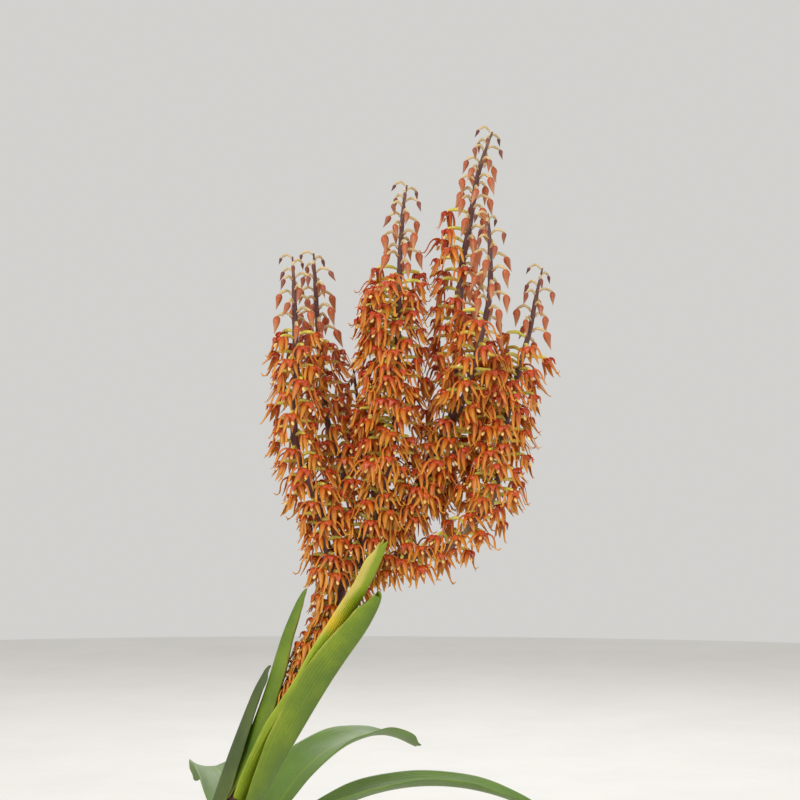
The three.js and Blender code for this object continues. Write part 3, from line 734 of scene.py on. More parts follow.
class OrchidColours(bpy.types.PropertyGroup):
    """The colours of the plant, its pot and the floor."""

    hood: colour_property("Hood", "Red dome at the top of each flower", 194, 62, 26)
    sepal: colour_property("Sepal", "Orange of the hanging sepals", 210, 102, 14)
    sepal_tip: colour_property("Sepal tip", "Gold of the sepals' tips", 222, 150, 40)
    petal: colour_property("Petal", "Salmon of the petals' feet", 206, 104, 56)
    anther: colour_property("Anther", "Cream cap of the column", 252, 228, 160)
    stalk: colour_property("Flower stalk", "Yellow-green of the arched stalks", 226, 212, 88)
    bud_stalk: colour_property("Bud stalk", "Cream of the stalks that carry buds", 222, 194, 138)
    bud: colour_property("Bud", "Salmon of the full buds", 194, 94, 48)
    young_bud: colour_property("Young bud", "Plum brown of the smallest buds", 112, 58, 54)
    rachis: colour_property("Rachis", "Plum of the raceme axes", 96, 58, 58)
    leaf: colour_property("Leaf", "Yellow-green of the leaf's face", 128, 148, 20)
    leaf_deep: colour_property("Leaf depth", "Deeper green near the keel", 78, 114, 20)
    leaf_margin: colour_property("Leaf margin", "Cream of the margin and the keel line", 212, 192, 98)
    leaf_patch: colour_property("Leaf patch", "Yellowed spot on the inner right leaf", 226, 186, 28)
    old_leaf: colour_property("Older leaf", "Green of the older growths' leaves", 92, 122, 44)
    bulb: colour_property("Pseudobulb", "Green of the pseudobulbs", 132, 150, 62)
    bulb_shade: colour_property("Pseudobulb shade", "Purple-brown tinge near their bases", 104, 84, 52)
    sheath: colour_property("Sheath", "Tan of the dry papery sheaths", 186, 160, 118)
    root: colour_property("Root", "Silver grey of the roots", 188, 184, 166)
    bark: colour_property("Bark", "Red-brown of the bark chips", 92, 60, 40)
    bark_pale: colour_property("Pale bark", "Weathered faces of the chips", 150, 112, 80)
    moss: colour_property("Moss", "Green of the moss cushions", 112, 132, 46)
    clay: colour_property("Clay", "Terracotta of the pot", 206, 118, 78)
    bloom: colour_property("Bloom", "Pale lime bloom on the clay", 206, 168, 142)
    floor: colour_property("Floor", "Pale floor", 236, 234, 230)


class OrchidSizes(bpy.types.PropertyGroup):
    """The sizes that shape the finer pieces."""

    leaf_thickness: length_property("Leaf thickness", "Thickness of a leaf at its keel", 0.8 * MM)
    flower_drop: length_property("Flower length", "From a flower's crown to its sepals' tips", 8.2 * MM)
    flower_gap: length_property("Flower gap", "Least distance between two flowers' hearts", 4.6 * MM)
    stalk_thickness: length_property("Stalk thickness", "A flower stalk's thickness at its arch", 1.35 * MM)
    chip_length: length_property("Chip length", "Length of a bark chip", 9.5 * MM)
    camera_distance: length_property("Camera distance", "From the lens to the fan of sprays", 0.822)
    floor_width: length_property("Floor width", "Width of the round floor under the pot", 5.0)


def sizes():
    return bpy.context.scene.orchid_sizes


class PieceOperator(bpy.types.Operator):
    """Shared settings of the operators that build a group of pieces."""

    bl_options = {"REGISTER", "UNDO"}


# Pot


class ORCHID_OT_pot(PieceOperator):
    """Spin the clay pot with its rim, turning marks and drain holes"""

    bl_idname = "orchid.pot"
    bl_label = "Clay Pot"

    STEPS = 96
    CREASE = 32

    def execute(self, context):
        deselect()
        bpy.ops.mesh.primitive_circle_add(vertices=len(POT_PROFILE), radius=POT_RIM)
        pot = named("clay_pot")
        for vertex, (radius, height) in zip(pot.data.vertices, POT_PROFILE):
            vertex.co = Vector((radius, 0, height)) * MM
        edit(
            pot,
            lambda: bpy.ops.mesh.spin(steps=self.STEPS, angle=2 * math.pi, center=(0, 0, 0), axis=(0, 0, 1)),
            lambda: bpy.ops.mesh.remove_doubles(threshold=1e-6),
            lambda: bpy.ops.mesh.delete_loose(use_verts=True, use_edges=True, use_faces=False),
            lambda: bpy.ops.mesh.normals_make_consistent(inside=False),
        )
        self.cut_drains(pot)
        smooth(pot, self.CREASE)
        finish_piece(pot, [self.clay()], "terracotta", "pot")
        return {"FINISHED"}

    def cut_drains(self, pot):
        """Four round holes through the floor, each with a clean edge."""
        drills = []
        for k in range(DRAIN["count"]):
            place = polar(2 * math.pi * (k + 0.5) / DRAIN["count"], DRAIN["at"]) + DRAIN["middle"] * UP
            deselect()
            bpy.ops.mesh.primitive_cylinder_add(
                vertices=28, radius=DRAIN["radius"] * MM, depth=DRAIN["depth"] * MM, location=place * MM
            )
            drills.append(named("drain_drill"))
        drill = join(drills, "drain_drill")
        modify(pot, "BOOLEAN", object=drill, operation="DIFFERENCE", solver="EXACT")
        discard([drill])

    def clay(self):
        """Terracotta with turning marks, pores, a lime bloom and a darker damp foot."""
        finish = Finish("terracotta", 0.86)
        height = finish.height()
        patches = finish.patches(38, 0.3)[0]
        pores, shade = finish.patches(900, 0.35)
        broad = finish.patches(14, 0.4)[0]
        high = finish.rescale(height, 0.03, POT_HEIGHT, 0.1, 0.5)
        low = finish.rescale(height, 0.0, 0.03, 0.5, 0.0)
        by_the_rim = finish.rescale(height, 0.085, 0.097, 0.0, 0.8)
        base = finish.over(tint("clay"), tint("clay", 0.72), finish.rescale(patches, 0.4, 0.62))
        base = finish.over(base, tint("bloom"), finish.rescale(broad, 0.47, 0.66), high)
        base = finish.over(base, tint("clay", 0.42), low, broad)
        base = finish.over(base, tint("moss"), by_the_rim, finish.rescale(patches, 0.52, 0.7))
        sockets = {
            "Vector": finish.place(), "Scale": 190, "Distortion": 1.2, "Detail": 2, "Detail Scale": 0.6,
        }
        rings = finish.add("TexWave", sockets, wave_type="BANDS", bands_direction="Z").outputs["Fac"]
        return finish.done(base, shade, finish.math("MULTIPLY_ADD", rings, 0.5, pores), 0.35, 0.35)


# Bark, moss and roots


def bark_surface(x, y):
    """The height of the bark's bed, in millimetres."""
    return BARK["level"] + BARK["crown"] * (1 - (x * x + y * y) / POT_NECK ** 2)


def clear_of_bulbs(spot, margin=0):
    """Whether a place on the bark is clear of the pseudobulbs' and the shoot's feet."""
    feet = [(base, widths[1]) for base, _, _, widths in BULBS.values()] + [(SHOOT_FOOT[0], SHOOT_FOOT_WIDTH)]
    return all(
        (spot.x - foot[0]) ** 2 + (spot.y - foot[1]) ** 2 >= (width + margin) ** 2 for foot, width in feet
    )


def lying(spot, lift, turned, size):
    """The matrix of a small piece that lies on the bark, lifted by so many millimetres."""
    place = Vector((spot.x, spot.y, bark_surface(spot.x, spot.y) + lift)) * MM
    return Matrix.LocRotScale(place, turned, (size, size, size))


class ORCHID_OT_bark(PieceOperator):
    """Fill the pot with bark chips, white grit and cushions of moss"""

    bl_idname = "orchid.bark"
    bl_label = "Bark Mix"

    KINDS = 9
    GRAINS = 64
    # bearing in degrees, distance from the pot's axis, radius
    CUSHIONS = ((-70, 37, 9), (-150, 34, 7), (35, 40, 8), (100, 33, 7), (200, 41, 6))

    def execute(self, context):
        bark = self.bark_material()
        finish_piece(self.bed(), [bark], "bark", "bark_mix")
        finish_piece(self.chips(), [bark], "bark")
        grit = plain_finish("white_grit", srgb(222, 218, 206), srgb(186, 180, 166), 700, 0.9, 0.4, 0.2)
        finish_piece(self.grit(), [grit], "bark")
        moss = plain_finish("moss", tint("moss"), tint("moss", 1.5), 260, 0.92, 0.4, 0.3, strength=0.6)
        finish_piece(self.moss(), [moss], "moss")
        return {"FINISHED"}

    def bed(self):
        """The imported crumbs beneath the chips, as a crowned disc with a rough surface."""

        def place(co):
            if co.z < -0.2:
                x, y = co.x * BED["foot_radius"], co.y * BED["foot_radius"]
                return Vector((x, y, BED["foot"] - 0.02 * co.z)) * MM
            if co.z < 0:
                x, y = co.x * BED["shoulder_radius"], co.y * BED["shoulder_radius"]
                return Vector((x, y, BED["shoulder"] + 30 * co.z)) * MM
            reach = 1 - math.asin(min(co.z, 1)) / (math.pi / 2)
            flat = Vector((co.x, co.y, 0)).normalized() if reach > 1e-4 else Vector((0, 0, 0))
            x, y = flat.x * reach * BED["top_radius"], flat.y * reach * BED["top_radius"]
            rough = noise.noise(Vector((x, y, 3)) * 0.33) + 0.6 * noise.noise(Vector((x, y, 9)) * 0.9)
            return Vector((x, y, bark_surface(x, y) - 2.4 + 1.1 * rough - 3 * ease(0.93, 1, reach))) * MM

        return ball("bark_bed", 96, 48, place)

    def chips(self):
        """Bark chips in a shallow heap, none standing where a pseudobulb does."""
        draws = Draws(BARK["seed"])
        noise.seed_set(BARK["seed"])  # Blender seeds the vector noise in chip() from the clock otherwise
        templates = [self.chip(draws, k) for k in range(self.KINDS)]
        places = []
        count, length = BARK["chips"], sizes().chip_length
        for k in range(count):
            bearing = 2 * math.pi * GOLDEN * k + draws.within(0.35)
            spot = polar(bearing, BARK["spread"] * math.sqrt((k + 0.5) / count))
            size = length * (0.5 + 0.62 * draws.next())
            lift = draws.within(1.3) - 0.4
            turned = draws.turned(0.5, 0.5, math.pi)
            tone = draws.next()
            if clear_of_bulbs(spot, -1):
                places.append((k, lying(spot, lift, turned, size), tone))
        return strew("bark_chips", templates, places)

    def chip(self, draws, number):
        """One chip of unit length: a split block with broken corners and a layered edge."""
        deselect()
        bpy.ops.mesh.primitive_cube_add(size=1)
        chip = named("chip_%d" % number)
        chip.scale = (1, 0.58 + draws.within(0.14), 0.3 + draws.within(0.09))
        bpy.ops.object.transform_apply(location=False, rotation=False, scale=True)
        edit(chip, lambda: bpy.ops.mesh.subdivide(number_cuts=1))
        offset = Vector([draws.within(40) for _ in range(3)])

        def place(co):
            push = noise.noise_vector(co * 2.1 + offset)
            corner = 1 - 0.16 * ease(0.55, 0.72, co.length)
            return co * corner + Vector((push.x * 0.13, push.y * 0.11, push.z * 0.07))

        drape(chip, place)
        modify(chip, "BEVEL", width=0.035, segments=1)
        smooth(chip, 28)
        return chip

    def grit(self):
        """White grains among the chips."""
        draws = Draws(5077)
        deselect()
        bpy.ops.mesh.primitive_ico_sphere_add(subdivisions=1, radius=1)
        grain = named("grain")
        drape(grain, lambda co: co * (1 + 0.25 * noise.noise(co * 2.3)))
        places = []
        for _ in range(self.GRAINS):
            spot = polar(draws.within(math.pi), LOOSE_REACH * math.sqrt(draws.next()))
            size = (0.9 + 1.1 * draws.next()) * MM
            turned = draws.turned(3, 3, 3)
            if clear_of_bulbs(spot):
                places.append((0, lying(spot, 1.1 + draws.within(0.7), turned, size), draws.next()))
        return strew("white_grit", [grain], places)

    def moss(self):
        """Low moss cushions by the rim, each a tuft of short leaning points."""
        draws = Draws(9133)
        deselect()
        tall = 2.6
        bpy.ops.mesh.primitive_cone_add(
            vertices=4, radius1=0.34, radius2=0.05, depth=tall, location=UP * (tall / 2)
        )
        point = named("moss_point")
        bpy.ops.object.transform_apply(location=True, rotation=False, scale=False)
        places = []
        for bearing, reach, width in self.CUSHIONS:
            middle = polar(math.radians(bearing), reach)
            for _ in range(int(width * width * 5)):
                around, off = draws.within(math.pi), width * math.sqrt(draws.next())
                spot = middle + polar(around, off)
                dome = 2.2 * (1 - (off / width) ** 2)
                size = (0.55 + 0.4 * draws.next()) * MM
                turned = draws.turned(0.5, 0.5, 3)
                tone = draws.next()
                if spot.length <= LOOSE_REACH and clear_of_bulbs(spot):
                    places.append((0, lying(spot, dome - 0.6, turned, size), tone))
        return strew("moss_cushions", [point], places)

    def bark_material(self):
        """Bark: layered red-brown with weathered faces, and each chip's own tone."""
        return plain_finish(
            "bark", tint("bark"), tint("bark_pale"), 160, 0.9, 0.6, 0.5, strength=0.7, grain=1100,
            blend=(0.55, 1.1), toned=0.6
        )


class ORCHID_OT_roots(PieceOperator):
    """Lay the creeping rhizome and the roots that run over the bark"""

    bl_idname = "orchid.roots"
    bl_label = "Rhizome and Roots"

    WANDERING = 16

    def execute(self, context):
        skin = plain_finish("rhizome_skin", tint("bulb_shade"), tint("sheath"), 90, 0.75, 0.4, 0.3)
        lines = [stem_line(Path(points), 40, self.rhizome_girth) for points in RHIZOMES]
        rhizome = tube("rhizome", lines, 16)
        finish_piece(rhizome, [skin], "root", "rhizome_and_roots")
        finish_piece(self.roots(), [self.velamen()], "root", "rhizome_and_roots")
        return {"FINISHED"}

    def rhizome_girth(self, share, k):
        """A creeping stem's radius, narrow at its ends and pinched at its joints."""
        return 5.4 * spread((0.55, 1, 1, 1, 0.55), share) * (1 - 0.1 * max(math.cos(k * 1.1), 0) ** 6)

    def roots(self):
        """The four main roots and finer ones that wander over the chips."""
        draws = Draws(3391)

        def girth(share, k):
            return 1.4 - 0.25 * share + draws.within(0.06)

        lines = [stem_line(Path(points), 26, girth) for points in ROOTS]
        for _ in range(self.WANDERING):
            bearing = draws.within(math.pi)
            start = Vector((-12 + draws.within(26), draws.within(20), 0))
            points = []
            for k in range(6):
                bearing += draws.within(0.5)
                spot = start + polar(bearing, 7 * k)
                if spot.length > 45:
                    break
                points.append((spot.x, spot.y, bark_surface(spot.x, spot.y) + 0.6 + draws.within(1.1)))
            if len(points) >= 3:
                x, y, z = points[-1]
                path = Path(points + [(x, y, z - 6)])
                lines.append(stem_line(path, 4 * len(path.points), lambda share, k: 0.75 - 0.2 * share))
        return tube("roots", lines, 8)

    def velamen(self):
        """Silver grey root skin with faint green where it is damp."""
        return plain_finish(
            "velamen", tint("root"), tint("bulb"), 120, 0.7, 0.4, 0.15, strength=0.25, grain=1400,
            blend=(0.5, 0.72, 0.0, 0.6)
        )


# Pseudobulbs


class Bulb:
    """A pseudobulb's axis and the oval section across it."""

    def __init__(self, base, apex, bow, half_widths):
        self.base, self.apex = Vector(base), Vector(apex)
        lean = self.apex - self.base
        self.flat = Vector((lean.x, lean.y, 0)).normalized()
        self.middle = (self.base + self.apex) / 2 + self.flat * bow
        self.half_widths = half_widths

    def point(self, t):
        return self.base * (1 - t) ** 2 + self.middle * 2 * t * (1 - t) + self.apex * t * t

    def heading(self, t):
        return ((self.middle - self.base) * (1 - t) + (self.apex - self.middle) * t).normalized()

    def surface(self, t, turn, grow=0.0):
        """A point of the skin, by its share of the height and its turn round the axis."""
        heading = self.heading(t)
        side = self.flat.cross(UP)
        side = (side - heading * side.dot(heading)).normalized()
        other = heading.cross(side)
        width = spread(self.half_widths, t) + grow
        thin = spread(self.half_widths, t) * BULB_FLATNESS + grow
        return self.point(t) + side * (thin * math.cos(turn)) + other * (width * math.sin(turn))


class ORCHID_OT_pseudobulbs(PieceOperator):
    """Shape the ribbed, flattened pseudobulbs and the dry sheaths round their bases"""

    bl_idname = "orchid.pseudobulbs"
    bl_label = "Pseudobulbs"

    NODES = (0.16, 0.42, 0.7)  # heights of the rings, as shares of the bulb's
    WRAPS = ((0.01, 0.3), (0.05, 0.44))  # from where to where each sheath covers it, as such shares

    def execute(self, context):
        skin, papery = self.skin(), self.papery()
        for number, (name, shape) in enumerate(BULBS.items()):
            bulb = Bulb(*shape)
            finish_piece(self.body(name, bulb, number), [skin], "pseudobulb", name)
            finish_piece(self.sheaths(name, bulb, number), [papery], "sheath")
        return {"FINISHED"}

    def body(self, name, bulb, number):
        """The ribbed bulb: a sphere drawn out along the axis, with nodes ringed round it."""

        def place(co):
            t = 0.5 + math.asin(max(-1, min(1, co.z))) / math.pi
            round_end = math.sqrt(max(0, 1 - max(0, 1 - t / 0.05) ** 2))
            round_tip = math.sqrt(max(0, 1 - max(0, (t - 0.955) / 0.045) ** 2))
            turn = math.atan2(co.y, co.x)
            waver = 0.5 * noise.noise(Vector((math.cos(turn), math.sin(turn), t * 3 + number * 7)))
            ribs = 0.38 * math.cos(11 * turn + 2 * waver) * ease(0.03, 0.3, t) * ease(1, 0.8, t)
            ring = sum(0.5 * math.exp(-((t - node) / 0.008) ** 2) for node in self.NODES)
            skin = bulb.surface(t, turn, ribs + waver * 0.6 - 0.3 + ring)
            middle = bulb.point(t)
            return (middle + (skin - middle) * min(round_end, round_tip)) * MM

        return ball(name.replace("pseudobulb", "bulb"), 64, 56, place)

    def sheaths(self, name, bulb, number):
        """Torn papery sheaths that wrap the lower bulb, open on one side."""
        draws = Draws(611 + number)
        wraps = [self.sheath("sheath_%s_%d" % (name, k), bulb, draws, k) for k in range(len(self.WRAPS))]
        return join(wraps, name.replace("pseudobulb", "sheaths"))

    def sheath(self, name, bulb, draws, number):
        """One sheath: a grid wrapped round the bulb, with a frayed top that curls away."""
        low, high = self.WRAPS[number]
        opening = draws.within(math.pi)
        offset = draws.within(30)

        def place(co):
            share = (co.y + 1) / 2
            turn = opening + co.x * math.pi * (0.86 - 0.2 * number)
            tear = noise.noise(Vector((turn * 1.6, offset, 0)))
            fray = 0.35 * noise.noise(Vector((turn * 9, offset, 5)))
            top = high * (0.86 + 0.34 * tear + 0.16 * fray - 0.25 * abs(co.x) ** 3)
            crease = 0.24 * noise.noise(Vector((turn * 4, share * 1.5, offset)))
            curl = 1.1 * ease(0.75, 1, share) * (0.5 + tear)
            away = 0.55 + 0.4 * number + crease + curl
            return bulb.surface(low + (top - low) * share, turn, away) * MM

        wrap = grid(name, 40, 14)
        drape(wrap, place)
        modify(wrap, "SOLIDIFY", thickness=0.16 * MM, offset=0)
        smooth(wrap)
        return wrap

    def skin(self):
        """Green skin, furrowed along the bulb, with a brown tinge towards the base."""
        finish = Finish("pseudobulb_skin", 0.4)
        patches = finish.patches(55, 0.35)[0]
        drawn_out = finish.add("Mapping", {"Vector": finish.place(), "Scale": (1, 1, 0.12)}).outputs["Vector"]
        furrows, shade = finish.patches(900, 0.3, drawn_out)
        low = finish.rescale(finish.height(), 0.108, 0.15, 0.8, 0.0)
        spots = finish.add("TexVoronoi", {"Vector": finish.place(), "Scale": 420}).outputs["Distance"]
        freckles = finish.rescale(spots, 0.08, 0.16, 0.5, 0.0)
        base = finish.over(tint("bulb"), tint("bulb", 1.35), finish.rescale(patches, 0.4, 0.65))
        base = finish.over(base, tint("bulb_shade"), low, finish.rescale(patches, 0.35, 0.6))
        base = finish.over(base, tint("bulb_shade"), freckles, finish.rescale(patches, 0.5, 0.6))
        return finish.done(base, shade, furrows, 0.35, 0.4)

    def papery(self):
        """Dry sheath with long fibres."""
        finish = Finish("papery_sheath", 0.82)
        across, along = finish.across_and_along()
        fibres = finish.veined(across, along, 46, 4)
        shade = finish.patches(110, 0.5)[1]
        base = finish.over(tint("sheath", 0.5), tint("sheath"), finish.rescale(along, 0.0, 1.0))
        base = finish.over(base, tint("sheath", 0.4), fibres, 0.45)
        return finish.done(base, shade, fibres, 0.5, 0.2)


# Leaves and the young shoot


def leaf_mesh(
    name, keel, open_side, half_widths, folds, lobes, splay=0, notch=0, cells=(14, 56), wave=0.5, seed=0.0
):
    """A folded, keeled leaf whose tip ends in two unequal lobes. Its upper face is its second material."""
    piece = grid(name, *cells)
    path = Path(keel)
    opens = Vector(open_side)

    def place(co):
        share = (co.y + 1) / 2
        point, heading = path.at(share), path.heading(share)
        inward = (opens - heading * opens.dot(heading)).normalized()
        side = heading.cross(inward)
        splayed = splay * ease(0.4, 0.8, share) if co.x < 0 else 0
        fold = math.radians(spread(folds, share) + splayed)
        off = abs(co.x)
        soft = math.sqrt(off * off + 0.006) - math.sqrt(0.006)
        tip = ease(0.8, 1, share)
        width = spread(half_widths, share) * (1 - 0.4 * ease(0.93, 1, share) * ease(0.5, 1, off))
        lobe = lobes[0] if co.x < 0 else lobes[1]
        cleft = 1 - 0.85 * math.exp(-((off - notch) / 0.16) ** 2)
        reach = lobe * cleft * (1 - 0.55 * ease(0.7, 1, off))
        ripple = wave * off ** 2 * noise.noise(Vector((share * 7, co.x * 1.5, seed)))
        spot = point + inward * (soft * width * math.cos(fold)) + side * (co.x * width * math.sin(fold))
        arch = 0.08 * width * math.sin(off * math.pi)
        spot += (side * (co.x and math.copysign(1, co.x)) * math.cos(fold) - inward * math.sin(fold)) * arch
        return (spot + heading * (reach * tip ** 2) + inward * ripple) * MM

    drape(piece, place)
    modify(
        piece, "SOLIDIFY", thickness=0.9 * sizes().leaf_thickness, offset=1, use_even_offset=True,
        material_offset=1, material_offset_rim=0
    )
    modify(piece, "SUBSURF", levels=1, render_levels=1)
    smooth(piece)
    return piece


def arch_keel(seat, bearing, slopes, length, steps=12):
    """The keel of an arching leaf, its slope changing evenly from base to tip."""
    heading = polar(math.radians(bearing))
    keel = [Vector(seat)]
    for k in range(steps):
        slope = math.radians(slopes[0] + (slopes[1] - slopes[0]) * (k + 0.5) / steps)
        keel.append(keel[-1] + (heading * math.cos(slope) + UP * math.sin(slope)) * (length / steps))
    return keel


class ORCHID_OT_leaves(PieceOperator):
    """Lay the folded leaves of the flowering growth and the arching leaves of the older ones"""

    bl_idname = "orchid.leaves"
    bl_label = "Leaves"

    def execute(self, context):
        faces = self.faces()
        for seed, (name, shape) in enumerate(LEAVES.items()):
            leaf = leaf_mesh(name + "_blade", *shape, seed=seed * 3.1)
            finish_piece(leaf, faces[name], "leaf", name)
        for seed, (name, arch) in enumerate(ARCHES.items()):
            leaf = leaf_mesh(
                name + "_blade", arch_keel(*arch), (0, 0, 1), ARCH_HALF_WIDTHS, ARCH_FOLDS, (5, 2.5),
                wave=1.6, seed=20 + seed * 2.3
            )
            finish_piece(leaf, faces["old"], "leaf", name)
        return {"FINISHED"}

    def faces(self):
        """Each leaf's two finishes: its underside, then the upper face that the fold opens to."""
        middle, deep, margin, old = (tint(name) for name in ("leaf", "leaf_deep", "leaf_margin", "old_leaf"))
        upper = leaf_finish("leaf_upper", middle, shaded(middle, 0.8), margin, 0.2)
        rimmed = leaf_finish("leaf_rimmed", middle, deep, margin, 0.05)
        light, spot = shaded(middle, 1.4), tint("leaf_patch")
        banded = leaf_finish("leaf_banded", light, middle, margin, 0.05, 0.5, spot)
        browned = leaf_finish("leaf_browned", shaded(middle, 0.9), deep, srgb(150, 112, 62), 0.08)
        # leaf_outer_left gets darker, greyer greens on both faces: painted shade, a shaded copy of the leaf's
        # colours
        painted_shade = leaf_finish("leaf_dull", srgb(84, 100, 40), srgb(58, 76, 34), srgb(104, 116, 60), 0.1)
        old_upper = leaf_finish("old_leaf_upper", old, shaded(old, 0.7), middle, 0.06)
        old_under = leaf_finish("old_leaf_under", shaded(old, 1.25), old, middle, 0.04)
        return {
            "leaf_inner_right": (banded, upper), "leaf_outer_right": (rimmed, upper),
            "leaf_inner_left": (browned, upper), "leaf_outer_left": (painted_shade, painted_shade),
            "old": (old_under, old_upper),
        }


class ORCHID_OT_shoot(PieceOperator):
    """Raise the young shoot with its three folded blades and its sheathed foot"""

    bl_idname = "orchid.shoot"
    bl_label = "Young Shoot"

    def execute(self, context):
        fresh = leaf_finish("shoot_leaf", tint("leaf", 1.25), tint("leaf"), tint("leaf_margin"), 0.08)
        blades = [
            leaf_mesh(
                "shoot_blade_%d" % k, *shape, SHOOT_FOLDS, (3, 2), cells=(10, 30), wave=0.3, seed=50 + k
            )
            for k, shape in enumerate(SHOOT_BLADES)
        ]
        finish_piece(join(blades, "young_shoot_blades"), [fresh, fresh], "leaf", "young_shoot")
        girths = (5, 5.7, 4.6, 3)
        foot = stem_line(
            Path(SHOOT_FOOT), 20, lambda share, k: spread(girths, share) + 0.12 * math.cos(k * 2)
        )
        skin = plain_finish("shoot_foot", tint("leaf"), tint("sheath"), 140, 0.6, 0.35, 0.3)
        finish_piece(tube("young_shoot_foot", [foot], 20), [skin], "sheath", "young_shoot")
        return {"FINISHED"}


# Panicle


def stations(name, path):
    """The flowers and buds of one raceme, from its tip down, before they are bent clear."""
    raceme = RACEMES[name]
    draws = Draws(raceme["seed"])
    last = raceme.get("last", path.length - 0.8)
    centre, sweep = raceme.get("sector", (0, 180))
    rows = []
    bottom, k = last, 0
    while bottom > raceme["first"]:
        place = bottom + (draws.within(JITTER["place"]) if k else 0)
        turn = centre + sweep * (2 * ((k * GOLDEN) % 1) - 1) + draws.within(JITTER["turn"])
        below = path.length - place
        youth = min(1, SMALLEST + (1 - SMALLEST) * below / YOUNG_LENGTH)
        size = youth * (1 + draws.within(JITTER["size"]))
        rightness = 0.5 + 0.5 * math.cos(math.radians(turn))
        left, right = raceme["opens"]
        open_now = below > left + (right - left) * rightness + draws.within(JITTER["opens"])
        reach = (raceme["reach"] if open_now else 1) * (1 + draws.within(JITTER["reach"]))
        rows.append(dict(share=place / path.length, turn=turn, size=size, reach=reach, open=open_now))
        bottom -= raceme["pitch"] * (CROWDING[0] if open_now else CROWDING[1])
        k += 1
    return rows


def flower_pose(path, station, extra_turn):
    """Where a flower sits when its station is turned by so many degrees."""
    centre, heading = path.at(station["share"]), path.heading(station["share"])
    right = BACK.cross(heading).normalized()
    rear = heading.cross(right)
    turn = math.radians(station["turn"] + extra_turn)
    out = right * math.cos(turn) + rear * math.sin(turn)
    level = Vector((out.x, out.y + 0.05 * math.copysign(1, math.sin(turn)), 0)).normalized()
    size = station["size"]
    grown, kind = (size, "") if station["open"] else (0.55 + 0.45 * size, "bud_")
    length = STALK[kind + "reach"] * grown * station["reach"]
    arch = STALK[kind + "arch"] * grown
    bend = centre + out * length + UP * arch
    fall = 0.25 * size if station["open"] else 0.65 * arch
    crown = bend + level * (0.8 * length) - UP * fall
    heart = crown - UP * (0.45 * HANG * size)
    return dict(station, centre=centre, out=out, level=level, bend=bend, crown=crown, heart=heart)


def crosses(leaves, pose):
    """Whether a leaf stands between a flower's heart and one of its tips."""
    matrix = standing(pose["crown"], pose["level"], pose["size"] * 1.1, FLOWER_DROOP)
    heart = matrix @ Vector((0.5, 0, -2.5))
    lines = [matrix @ Vector(tip) - heart for tip in FLOWER_TIPS]
    return any(leaf.ray_cast(heart, line.normalized(), line.length)[0] for leaf in leaves for line in lines)


def leaf_surfaces():
    """The upper leaves that are built, ready for measuring how near a place is to them."""
    graph = bpy.context.evaluated_depsgraph_get()
    leaves = [bpy.data.objects.get(name + "_blade") for name in LEAVES]
    return [BVHTree.FromObject(leaf, graph) for leaf in leaves if leaf]


def place_flowers():
    """All flowers and buds, each turned to the first side that is clear of the rest and of the leaves."""
    gap = sizes().flower_gap / MM
    leaves = leaf_surfaces()
    paths = {name: Path(RACEMES[r.get("follows", name)]["axis"]) for name, r in RACEMES.items()}
    axes = []
    for name, raceme in RACEMES.items():
        if "follows" not in raceme:
            steps = round(paths[name].length / 4)
            axes += [(paths[name].at(k / steps), raceme["spray"], name) for k in range(steps + 1)]
    placed = []
    for name, raceme in RACEMES.items():
        own = raceme.get("follows", name)
        others = [(point, AXIS_ROOM[spray == raceme["spray"]]) for point, spray, r in axes if r != own]
        for station in stations(name, paths[name]):
            for share, turn in ATTEMPTS:
                pose = flower_pose(paths[name], dict(station, size=station["size"] * share), turn)
                heart = pose["heart"]
                near = any(
                    (p["heart"] - heart).length < gap * min(p["size"], pose["size"], 1) for p in placed
                )
                room = min((leaf.find_nearest(heart * MM)[3] / MM for leaf in leaves), default=math.inf)
                near = near or room < LEAF_ROOM or (room < NEAR_LEAF and crosses(leaves, pose))
                near = near or (share < 1 and room > NEAR_LEAF)
                if not near and all((point - heart).length > clear for point, clear in others):
                    placed.append(dict(pose, spray=raceme["spray"], room=room))
                    break
    return placed, paths


